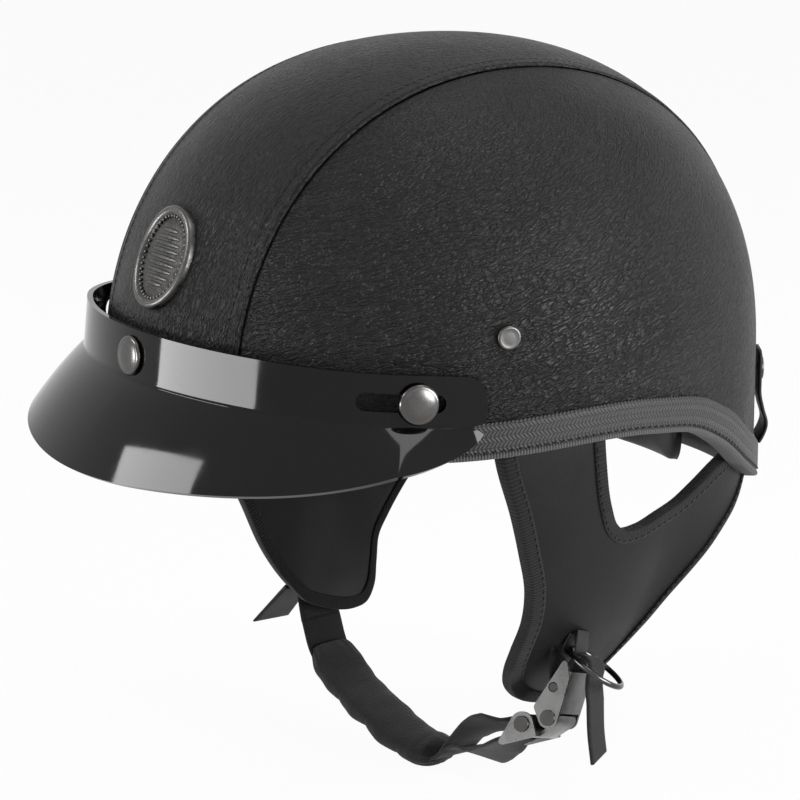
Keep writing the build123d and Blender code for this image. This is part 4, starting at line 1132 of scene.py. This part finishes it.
class HELMET_OT_badge(bpy.types.Operator):
    """Plain oval medallion with a beaded border and a fluted field"""

    bl_idname = "helmet.badge"
    bl_label = "Badge"

    def execute(self, context):
        dome = Dome()
        spot = dome.at(0.0, BADGE_LEVEL)
        matrix = stand(spot, dome.way(spot), Vector((1, 0, 0)))
        half_wide, half_tall = 16.5, 20.0
        profile = [(0.0, 0.5), (0.62, 0.5), (0.76, 0.35), (0.80, 0.5), (0.84, 1.6), (0.88, 2.1),
                   (0.94, 2.2), (0.985, 1.8), (1.0, 1.2), (1.0, -2.4), (0.0, -2.4)]
        oval = lathe([(r * half_tall, h) for r, h in profile], 96)
        bmesh.ops.scale(oval, vec=(half_wide / half_tall, 1, 1), verts=oval.verts[:])
        flutes = bmesh.new()
        for k in range(-4, 5):
            reach = half_wide * 0.60 * sqrt(max(0.0, 1 - (k * 2.6 / (half_tall * 0.62)) ** 2))
            if reach > 1.5:
                bmesh.ops.create_uvsphere(flutes, u_segments=20, v_segments=10, radius=1.0,
                                          matrix=Matrix.Translation((0, k * 2.6, 0.5))
                                          @ Matrix.Diagonal((reach, 0.95, 0.9, 1)))
        beads = bmesh.new()
        for k in range(44):
            angle = 2 * pi * k / 44
            spot_on = (half_wide * 0.775 * cos(angle), half_tall * 0.80 * sin(angle), 0.75)
            bmesh.ops.create_icosphere(beads, subdivisions=2, radius=0.72,
                                       matrix=Matrix.Translation(spot_on))
        whole = moved(joined([oval, flutes, beads]), matrix)
        for vert in whole.verts:
            local = matrix.inverted() @ vert.co
            sink = dome.width * (1 - sqrt(1 - (local.x / dome.width) ** 2))
            vert.co -= dome.way(spot) * sink * 0.9
        f = Finish("badge_metal", colour("nickel", 0.9), 0.28, Metallic=1.0)
        hollow = f.node("ShaderNodeNewGeometry").outputs["Pointiness"]
        dirt = f.noise(500.0, 4.0)
        bright = f.spread(f.maths("ADD", hollow, f.maths("MULTIPLY", dirt, 0.06)),
                          0.47, 0.56, 0.0, 1.0)
        worn = f.wear(Base_Color=f.mix(bright, (0.015, 0.015, 0.015, 1), colour("nickel", 0.9)),
                      Roughness=f.spread(dirt, 0.3, 0.7, 0.22, 0.42))
        piece(whole, "medallion", "shell", worn, slot="nickel", instead_of=("front_badge",),
              sharp=50)
        return {"FINISHED"}


# Ear flaps


class Flap:
    """Form of one ear flap: its outline in side view laid on a curved hanging sheet."""

    def __init__(self, side):
        self.side = side
        self.hang, self.edge_shares, self.notch_shares = (
            (215.0, LEFT_FLAP_EDGE, LEFT_FLAP_NOTCH) if side > 0
            else (290.0, RIGHT_FLAP_EDGE, RIGHT_FLAP_NOTCH))

    def spot(self, y, z, out=0.0):
        """Spot of the sheet at a place in side view, pushed out of the face."""
        drawn_in = self.hang - sqrt(self.hang ** 2 - min(z, 0.0) ** 2)
        if self.side > 0:
            back = max(0.0, min(1.0, (y - FLAP_BACK_START) / FLAP_BACK_LENGTH))
            drawn_in *= 1 - back * back * (3 - 2 * back)
        reach = FLAP_RADIUS + out - drawn_in
        x = FLAP_CENTRE.x + sqrt(reach ** 2 - (y - FLAP_CENTRE.y) ** 2)
        return Vector((self.side * x, y, z))

    def way(self, spot):
        """Direction out of the sheet's face at a spot."""
        near = self.spot(spot.y + 0.5, spot.z) - self.spot(spot.y - 0.5, spot.z)
        tall = self.spot(spot.y, spot.z + 0.5) - self.spot(spot.y, spot.z - 0.5)
        return near.cross(tall).normalized() * self.side

    def edge(self, inward):
        """Outline from the front top round the foot to the back, drawn in by a distance."""
        return self.drawn(self.edge_shares, inward, BINDING_SHARE)

    def notch(self, inward):
        """Outline of the notch from the back leg's top to its foot and up the front leg."""
        return self.drawn(self.notch_shares, inward, (1, 1))

    def drawn(self, outline, inward, shares):
        """Line through an outline, drawn in by a distance, of which shares apply along it."""
        line = scaled_line(outline, size("flap_span"), size("flap_drop"), 10)
        drawn_line = []
        for place, spot in enumerate(line):
            run = (line[min(place + 1, len(line) - 1)] - line[max(place - 1, 0)]).normalized()
            share = 1.0
            if inward > 0:
                at = place / (len(line) - 1) * (len(shares) - 1)
                first = min(int(at), len(shares) - 2)
                share = shares[first] + (shares[first + 1] - shares[first]) * (at - first)
            drawn_line.append(spot + Vector((-run.y, run.x, 0)) * inward * share)
        return drawn_line


def flap_face(flap, out, depth=0.0, columns=200, rows=70):
    """Face of the flap between its outline and its notch; depth gives it a padded swell."""
    edge, notch = flap.edge(0.0), flap.notch(0.0)
    top = [Vector((edge[0].x + (notch[-1].x - edge[0].x) * k / 30, edge[0].y, 0))
           for k in range(31)]
    top += list(reversed(notch)) + [edge[-1]]
    upper, lower = ([spot for spot, _ in evenly(line, line_length(line) / 400)]
                    for line in (top, edge))

    def place(u, v):
        flat = along(lower, u)[0].lerp(along(upper, u)[0], v)
        rim = min(v, 1 - v, u * 1.6, (1 - u) * 1.6) * 2
        swell = depth * min(1.0, rim * 3.2) ** 0.5
        return flap.spot(flat.x, flat.y, out - swell)

    way = -flap.side if depth else flap.side
    return faced(mapped_grid(columns, rows, place, (100, 100), closed=True),
                 lambda face: face.normal.x * face.calc_area() * way)


def flap_binding(flap, columns=420):
    """Fabric tape folded over the flap's whole free edge."""
    width = size("binding_width") - 1.0
    outer = flap.edge(-1.0) + flap.notch(-1.0)
    centre = flap.edge(0.0) + flap.notch(0.0)
    inner = flap.edge(width) + flap.notch(width)
    face, back = 0.75, -5.15
    profile = []
    for k in range(7):
        profile.append((0, k / 6, face + 0.12 * sin(pi * k / 6)))
    profile += [(1, 0.45, face - 0.1), (1, 0.8, face - 0.55), (1, 1.0, face - 1.4),
                (1, 1.05, (face + back) / 2), (1, 1.0, back + 1.4), (1, 0.8, back + 0.55),
                (1, 0.45, back + 0.1)]
    for k in range(7):
        profile.append((0, 1 - k / 6, back - 0.12 * sin(pi * k / 6)))
    profile += [(0, 0, back + 0.7), (0, 0, face - 0.7)]
    around = len(profile)
    steps = len(centre) - 1

    def place(u, v):
        side, share, out = profile[round(v * around) % around]
        near, far = (centre, outer) if side else (inner, centre)
        flat = between(near, u * steps).lerp(between(far, u * steps), share)
        return flap.spot(flat.x, flat.y, out)

    return outward(mapped_grid(columns, around, place, (line_length(centre), 20.0), closed=True))


class HELMET_OT_flaps(bpy.types.Operator):
    """Ear flaps: smooth leather face, padded lining, bound edge and stitches"""

    bl_idname = "helmet.flaps"
    bl_label = "Ear flaps"

    def execute(self, context):
        for side, name in SIDES:
            flap = Flap(side)
            leather = smooth_leather(f"{name}_flap_leather_finish", "flap_leather")
            piece(flap_face(flap, 0.0), f"{name}_flap_face", "shell", leather, slot="flap_grey",
                  instead_of=(f"{name}_flap_leather",), wall=1.3)
            lining = piece(flap_face(flap, -3.4, 1.1), f"{name}_flap_pad", "shell",
                           smooth_leather(f"{name}_flap_lining_finish", "fabric", 1.0, 0.55, 0.7),
                           slot="flap_grey", instead_of=(f"{name}_flap_lining", f"{name}_flap_hem"),
                           wall=1.6)
            piece(flap_binding(flap), f"{name}_flap_tape", "shell",
                  ribbed_fabric(f"{name}_tape", "fabric", 1.0), slot="binding_black",
                  instead_of=(f"{name}_flap_binding",))
            rows = []
            for outline, top in ((flap.edge, -12), (flap.notch, -14)):
                line = [flap.spot(spot.x, spot.y, 0.95)
                        for spot in outline(size("binding_width") - 2.0) if spot.y < top]
                rows.append(stitches(evenly(line, 3.3), flap.way, 2.3, 0.5, 0.25))
            piece(joined(rows), f"{name}_flap_stitches", "shell",
                  ribbed_fabric(f"{name}_flap_thread", "fabric", 0.5, 1.2), slot="binding_black")
        return {"FINISHED"}


# Keepers

# Side view of a keeper's strap: up from its stud, and out from the shell
KEEPER_PATH = (
    (8.5, 2.2), (4.0, 2.2), (-4.0, 2.2), (-10.0, 2.3), (-16.0, 3.6), (-22.9, 5.2), (-28.0, 3.6),
    (-30.5, 2.2),
)


class HELMET_OT_keepers(bpy.types.Operator):
    """Snap straps at the back that hold a goggle strap"""

    bl_idname = "helmet.keepers"
    bl_label = "Keepers"

    def execute(self, context):
        dome = Dome()
        for side, name in SIDES:
            turn = side * radians(KEEPER_TURN)
            spot = dome.at(turn, KEEPER_LEVEL)
            flat = Vector((sin(turn) / dome.width, -cos(turn) / dome.rear, 0)).normalized()
            matrix = stand(spot, flat)
            line = [matrix @ Vector((spot.x, 0, spot.y))
                    for spot in scaled_line(KEEPER_PATH, 1, 1, 8)]
            across = matrix.to_3x3() @ Vector((0, 1, 0))

            def taper(u, x, y):
                return x * (1 - 0.45 * max(0.0, 1 - u * 14) ** 2), y

            strap = ribbon(line, lambda u: across, 16.0, 1.5, puff=taper)
            piece(strap, f"{name}_keeper_strap", f"{name}_keeper_body",
                  smooth_leather(f"{name}_keeper_leather", "leather", 1.1), slot="leather_black",
                  instead_of=(f"{name}_keeper",), bevel=0.3)
            cap = snap_cap(5.25, 1.4, 48)
            piece(moved(cap, matrix @ Matrix.Translation((0, 0, 3.0))), f"{name}_keeper_cap",
                  f"{name}_keeper_body", metal(f"{name}_keeper_nickel", "nickel", 0.22),
                  slot="nickel", instead_of=(f"{name}_keeper_snap",))
        return {"FINISHED"}


# Buckle, straps and chin pad

# Radii of both pins and the ring's wire, the gap round them, and places in the lever's plane
PIVOT_RADIUS, BAR_RADIUS, WIRE_RADIUS, CLEARANCE = 2.2, 1.7, 1.15, 0.3
BAR_X, RING_X, PIN_LEVEL = 12, 27.6, 1.2


def bow(x, y, radius, start, sweep, steps):
    """Spots of an arc round a place in a plane."""
    turns = [start + sweep * k / steps for k in range(steps + 1)]
    return [Vector((x + radius * cos(turn), y + radius * sin(turn), 0)) for turn in turns]


def plane_of(origin, run, across):
    """Matrix with X along a run and Z along the direction across the strap."""
    return axes(origin, run, across.cross(run), across)


def buckle_planes():
    """Planes of the pivot pin and of the lever, both with Z along the pins."""
    buckle = plane_of(LATCH_SPOT, STRAP_WAY, PIN_WAY)
    turn = radians(LEVER_TURN)
    lever = plane_of(LATCH_SPOT, buckle.to_3x3() @ Vector((cos(turn), sin(turn), 0)), PIN_WAY)
    return buckle @ Matrix.Translation((-10.4, 0, 0)), lever


class HELMET_OT_buckle(bpy.types.Operator):
    """Pivot buckle, its pins, the strap bar and the keeper ring"""

    bl_idname = "helmet.buckle"
    bl_label = "Buckle and ring"

    def execute(self, context):
        steel, bright = metal("buckle_steel", "steel", 0.3), metal("pin_steel", "nickel", 0.14)
        for node, name, body, finish, bevel in (
                ("buckle_frame", "buckle_plate", "buckle_body", steel, 0.25),
                ("release_lever", "release_arm", "lever_body", steel, 0.25),
                ("pivot_pin", "pivot_rivet", "chin_body", bright, 0.15),
                ("latch_pin", "latch_rivet", "lever_body", bright, 0.15),
                ("strap_bar", "lever_bar", "shell", bright, 0.15)):
            cad_copy(node, name, body, finish, bevel)
        _, lever = buckle_planes()
        droop = radians(22.0)
        out = Vector((-sin(droop), -cos(droop), 0))
        half_short, half_long = (26.0 - 2 * WIRE_RADIUS) / 2, (28.0 - 2 * WIRE_RADIUS) / 2
        middle = Vector((RING_X, PIN_LEVEL, 0)) + out * (half_short - 0.4)

        def place(u, v):
            a, b = 2 * pi * u, 2 * pi * v
            flat = Vector((half_short * cos(a), half_long * sin(a)))
            way = Vector((flat.x / half_short ** 2, flat.y / half_long ** 2)).normalized()
            flat += way * WIRE_RADIUS * cos(b)
            return lever @ (middle + out * flat.x + Vector((0, 0, flat.y))
                            + out.cross(Vector((0, 0, 1))) * WIRE_RADIUS * sin(b))

        bm = outward(mapped_grid(96, 20, place, (80, 7), closed=True))
        piece(bm, "wire_ring", "ring_body", metal("ring_steel", "dark_steel", 0.2), slot="gunmetal",
              instead_of=("keeper_ring",))
        return {"FINISHED"}


# Shares of forward, the pin's way and a twist in the strap's width, on the strands and the sling
STRAND_WAYS = ((0.9, 0.1, 0), (0.85, 0.15, 0), (0.55, 0.25, 0.2), (0.2, 0.35, 0.45),
               (0, 0.6, 0.4), (0, 0.9, 0.1), (0, 1, 0))
SLING_WAYS = ((1, 0, 0),) * 4 + ((0.95, 0.05, 0), (0.88, 0.12, 0))
# Lines of the chin strap, as shares of its span: under the chin, both strands and the root
CHIN_SPAN = 150.0
SLING = ((-0.5065, -0.0287, -0.8905), (-0.466, -0.0287, -0.975), (-0.345, -0.03, -1.050),
         (-0.190, -0.032, -1.095), (-0.035, -0.025, -1.132), (0.055, 0.003, -1.140))
LOWER = ((0.147, -0.0033, -1.09), (0.27, -0.033, -1.06), (0.38, -0.068, -0.995))
UPPER = ((0.150, -0.0033, -1.062), (0.275, -0.037, -0.975), (0.385, -0.073, -0.915))
ROOT = ((-0.5300, -0.027, -0.81), (-0.519, -0.0285, -0.85), (-0.5062, -0.0287, -0.896))


def chin_line(shares):
    """Spots of the chin strap from shares of its span."""
    return [Vector(share) * CHIN_SPAN for share in shares]


class HELMET_OT_straps(bpy.types.Operator):
    """Chin webbing, the strap on the left flap with its tail, ring tab and tongue"""

    bl_idname = "helmet.straps"
    bl_label = "Straps"

    def execute(self, context):
        forward, pin, twist = Vector((0, 1, 0)), -PIN_WAY, Vector((-0.41, 0.47, -0.78))
        strand_ways, sling_ways = (
            blended_ways([forward * a + pin * b + twist * c for a, b, c in ways])
            for ways in (STRAND_WAYS, SLING_WAYS))
        pivot, lever = buckle_planes()
        web, wall = size("chin_web"), size("web_wall")
        webbing = ribbed_fabric("chin_web_weave", "fabric", 1.6, 1.3, across=1.1)
        sling = chin_line(SLING)
        loop = PIVOT_RADIUS + CLEARANCE + wall / 2
        strands = []
        for shares, low in ((LOWER, -loop), (UPPER, loop)):
            run = sling[-2:] + chin_line(shares)
            run += [pivot @ Vector((-7.0, low, 0)), pivot @ Vector((0, low, 0))]
            strands.append(line_through(run, 14))
        lower, upper = strands
        bend = [pivot @ Vector((loop * cos(a), loop * sin(a), 0))
                for a in (pi / 2 * (k / 8 - 1) for k in range(1, 16))]
        whole = lower + bend + upper[::-1]
        count = len(whole)

        def loop_way(u):
            at = u * (count - 1)
            if at < len(lower):
                return strand_ways(at / (len(lower) - 1))
            if at < count - len(upper):
                return pin
            return strand_ways((count - 1 - at) / (len(upper) - 1))

        doubled = ribbon(whole, loop_way, web, wall, across=10)
        single = ribbon(line_through(sling, 12), sling_ways, web, wall * 1.02, across=10)
        piece(joined([doubled, single]), "chin_strap", "chin_body", webbing, slot="webbing_black",
              instead_of=("chin_webbing",))
        root = ribbon(line_through(chin_line(ROOT), 6), lambda u: forward, web, wall, across=10)
        piece(root, "right_web_root", "shell", webbing, slot="webbing_black",
              instead_of=("right_strap_root",))

        bar_loop = BAR_RADIUS + CLEARANCE + 0.75
        fold = 4.2
        start, over = Vector((26.5, 8.1, 0)), Vector((BAR_X, PIN_LEVEL + bar_loop, 0))
        run = [start.lerp(over, k / 6) for k in range(6)]
        run += bow(BAR_X, PIN_LEVEL, bar_loop, pi / 2, pi, 12)
        run += [Vector((BAR_X + 10.3 * k / 6, PIN_LEVEL - bar_loop, 0)) for k in range(1, 6)]
        run += bow(22.3, PIN_LEVEL - bar_loop - fold, fold, pi / 2, -pi, 14)
        run = [lever @ spot for spot in run]
        tail_length = 34.0
        tail_start = lever @ Vector((20.5, PIN_LEVEL - bar_loop - 2 * fold, 0))
        tail = [tail_start] + [tail_start + Vector(s) * tail_length for s in (
            (0.01, 0.0, -0.34), (0.03, 0.0, -0.69), (0.06, 0.02, -1.0))]
        tail_line = line_through([run[-1]] + tail, 10)
        before = len(run) - 1
        line = run[:-1] + tail_line
        tail_ways = blended_ways([PIN_WAY, PIN_WAY, PIN_WAY, Vector((0.42, -0.86, 0.28)),
                                  Vector((0.44, -0.87, 0.20))])

        def strap_way(u):
            at = u * (len(line) - 1)
            return PIN_WAY if at < before else tail_ways((at - before) / (len(tail_line) - 1))

        piece(ribbon(line, strap_way, size("left_web"), wall, across=8), "left_web_run", "shell",
              ribbed_fabric("left_web_weave", "fabric", 1.4, 1.3, across=1.1), slot="webbing_black",
              instead_of=("left_strap",))
        loop_mid = WIRE_RADIUS + 1.0 + 0.55
        tab = [Vector((33.6, PIN_LEVEL + loop_mid / 2, 0)),
               Vector((30.0, PIN_LEVEL + loop_mid * 0.85, 0))]
        tab += bow(RING_X, PIN_LEVEL, loop_mid, pi / 2, pi, 12)
        tab += [Vector((31.0, PIN_LEVEL - loop_mid * 0.85, 0)),
                Vector((35.6, PIN_LEVEL - loop_mid / 2, 0))]
        tab = ribbon([lever @ spot for spot in tab], lambda u: PIN_WAY, 11.0, 1.05, across=6)
        piece(tab, "ring_loop", "shell", smooth_leather("tab_leather", "fabric", 1.6),
              slot="leather_black", instead_of=("ring_tab",), bevel=0.2)
        way = Vector((-0.66, -0.11, -0.74)).normalized()
        start = Vector((-76.8, -15.0, -117.0))
        tongue_length, tongue_width, tongue_wall = 27.0, 20.0, 1.9

        def point(u, x, y):
            return x * (0.75 + 0.25 * u), y * (1 - 0.45 * u)

        line = [start + way * (tongue_length * k / 20) for k in range(21)]
        tongue = ribbon(line, lambda u: forward, tongue_width, tongue_wall, puff=point)
        piece(tongue, "strap_tongue", "shell", smooth_leather("tongue_leather", "fabric", 1.3),
              slot="leather_black", instead_of=("right_tongue",), bevel=0.3)
        return {"FINISHED"}


# Folds along the padded sleeve, as shares of its line
PAD_FOLDS = (0.0, 0.31, 0.51, 0.72, 1.001)


class HELMET_OT_chin_pad(bpy.types.Operator):
    """Puffed and gathered sleeve round the chin strap"""

    bl_idname = "helmet.chin_pad"
    bl_label = "Chin pad"

    def execute(self, context):
        line = line_through(chin_line(SLING[1:]), 40)
        wide, deep = size("pad_width"), size("pad_depth")

        def place(u, v):
            spot, run = along(line, u)
            way = Vector((0, 1, 0))
            way = (way - run * way.dot(run)).normalized()
            up = run.cross(way)
            a = 2 * pi * v
            first = max(k for k in range(4) if PAD_FOLDS[k] <= u)
            part = (u - PAD_FOLDS[first]) / (PAD_FOLDS[first + 1] - PAD_FOLDS[first])
            puff = 0.86 + 0.18 * abs(sin(pi * min(part, 1.0))) ** 0.6
            gather = 1 - 0.22 * max(0.0, 1 - u * 9) ** 2 - 0.30 * max(0.0, 1 - (1 - u) * 7) ** 2
            pleat = 1 + 0.045 * sin(14 * a) * (max(0.0, 1 - u * 7) + max(0.0, 1 - (1 - u) * 6))
            wrinkle = 1 + 0.012 * sin(37 * u + 3 * a) + 0.01 * sin(61 * u - 2 * a + 1.7)
            x = abs(cos(a)) ** 0.7 * (1 if cos(a) > 0 else -1) * wide / 2
            y = abs(sin(a)) ** 0.8 * (1 if sin(a) > 0 else -1) * deep / 2
            low = max(0.0, cos(a) * -0.7 - sin(a) * 0.7)
            grow = (1 + (puff - 1) * low) * gather * pleat * wrinkle
            return spot + way * x * grow + up * y * grow

        bm = mapped_grid(220, 84, place, (120, 60), closed=True)
        pad = piece(capped(bm), "chin_sleeve", "chin_body", knit_cloth("pad_cloth", "fabric", 1.6),
                    slot="pad_black", instead_of=("chin_pad",))
        return {"FINISHED"}


# Stage


class HELMET_OT_stage(bpy.types.Operator):
    """Pale floor, soft studio lights, white background and the camera"""

    bl_idname = "helmet.stage"
    bl_label = "Stage"

    def execute(self, context):
        scene = context.scene
        scene.view_settings.view_transform = "Standard"
        low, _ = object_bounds()
        bm = bmesh.new()
        bmesh.ops.create_grid(bm, x_segments=1, y_segments=1, size=6.0)
        bmesh.ops.translate(bm, vec=(0, 0, low.z - 0.001), verts=bm.verts[:])
        floor = as_object(bm, "floor", 1.0)
        f = Finish("floor_white", colour("floor"), 0.9, Specular_IOR_Level=0.1)
        glow = f.node("ShaderNodeEmission", values={"Color": (1, 1, 1, 1), "Strength": 1.0})
        blend = f.node("ShaderNodeMixShader", {0: f.maths("MULTIPLY", f.facing(), 0.94)})
        f.tree.links.new(f.shader.outputs[0], blend.inputs[1])
        f.tree.links.new(glow.outputs[0], blend.inputs[2])
        f.tree.links.new(blend.outputs[0], f.tree.nodes["Material Output"].inputs[0])
        floor.data.materials.append(f.material)
        floor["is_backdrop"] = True

        world = bpy.data.worlds.new("studio")
        scene.world = world
        world.use_nodes = True
        sky = world.node_tree.nodes["Background"]
        nodes = Nodes(world.node_tree)
        strength = nodes.spread(nodes.facing(), 0.0, 1.0, 0.26, 1.0)
        nodes.tree.links.new(strength, sky.inputs["Strength"])
        sky.inputs["Color"].default_value = (1, 1, 1, 1)

        # Name, place, target, direction of the long side, its length, the other's, and watts
        for name, spot, aim, along_way, wide, tall, power in (
                ("overhead", (0.40, 0.45, 1.35), (0, 0, 0.05), (1, 0, 0), 0.6, 0.6, 6.0),
                ("front_low", (-0.35, -1.266, -0.03), (0.04, -0.133, 0.0), (1, 0, 0),
                 0.97, 0.25, 13.5),
                ("front_high", (-0.50, -0.94, 0.71), (0.05, -0.15, -0.005), (0.861, -0.19, 0.472),
                 0.60, 0.21, 6.5),
                ("side", (1.10, 0.48, 0.12), (0.05, 0, 0.05), (0, 1, 0), 0.95, 0.5, 24.0)):
            light = bpy.data.lights.new(name, "AREA")
            light.shape = "RECTANGLE"
            light.size, light.size_y, light.energy = wide, tall, power
            lamp = linked(name, light)
            lamp.matrix_world = stand(Vector(spot), Vector(spot) - Vector(aim), Vector(along_way))

        view = bpy.data.cameras.new("camera")
        view.lens = 121.04
        view.shift_y = -0.15
        view.sensor_width = 36.0
        camera = linked("camera", view)
        around, above, roll = radians(53.62), radians(13.14), radians(-0.29)
        back = Vector((sin(around) * cos(above), -cos(around) * cos(above), sin(above)))
        right = Vector((cos(around), sin(around), 0))
        up = back.cross(right)
        turned = right * cos(roll) + up * sin(roll)
        up = -right * sin(roll) + up * cos(roll)
        place = Vector((0.8398, -0.6349, 0.2762))
        camera.matrix_world = axes(place, turned, up, back)
        scene.camera = camera
        return {"FINISHED"}


class HELMET_PT_panel(bpy.types.Panel):
    """Sidebar panel with the sizes, the colours and a button for each group of pieces"""

    bl_label = "Helmet"
    bl_idname = "HELMET_PT_panel"
    bl_space_type = "VIEW_3D"
    bl_region_type = "UI"
    bl_category = "Helmet"

    def draw(self, context):
        for settings in (context.scene.helmet_sizes, context.scene.helmet_colours):
            box = self.layout.box()
            for name in settings.__annotations__:
                box.prop(settings, name)
        for operator in OPERATORS:
            self.layout.operator(operator.bl_idname)


SETTINGS = (HelmetSizes, HelmetColours)
OPERATORS = (
    HELMET_OT_leather, HELMET_OT_trim, HELMET_OT_liners, HELMET_OT_peak, HELMET_OT_studs,
    HELMET_OT_badge, HELMET_OT_flaps, HELMET_OT_keepers, HELMET_OT_buckle, HELMET_OT_straps,
    HELMET_OT_chin_pad, HELMET_OT_stage,
)


def register():
    """Add the panel, its settings and its operators."""
    for item in SETTINGS + OPERATORS + (HELMET_PT_panel,):
        bpy.utils.register_class(item)
    bpy.types.Scene.helmet_sizes = PointerProperty(type=HelmetSizes)
    bpy.types.Scene.helmet_colours = PointerProperty(type=HelmetColours)


def unregister():
    """Take them away again."""
    del bpy.types.Scene.helmet_colours
    del bpy.types.Scene.helmet_sizes
    for item in reversed(SETTINGS + OPERATORS + (HELMET_PT_panel,)):
        bpy.utils.unregister_class(item)


def main():
    """Register the add-on and build every piece."""
    register()
    for operator in OPERATORS:
        group, name = operator.bl_idname.split(".")
        getattr(getattr(bpy.ops, group), name)()


if __name__ == "__main__":
    main()
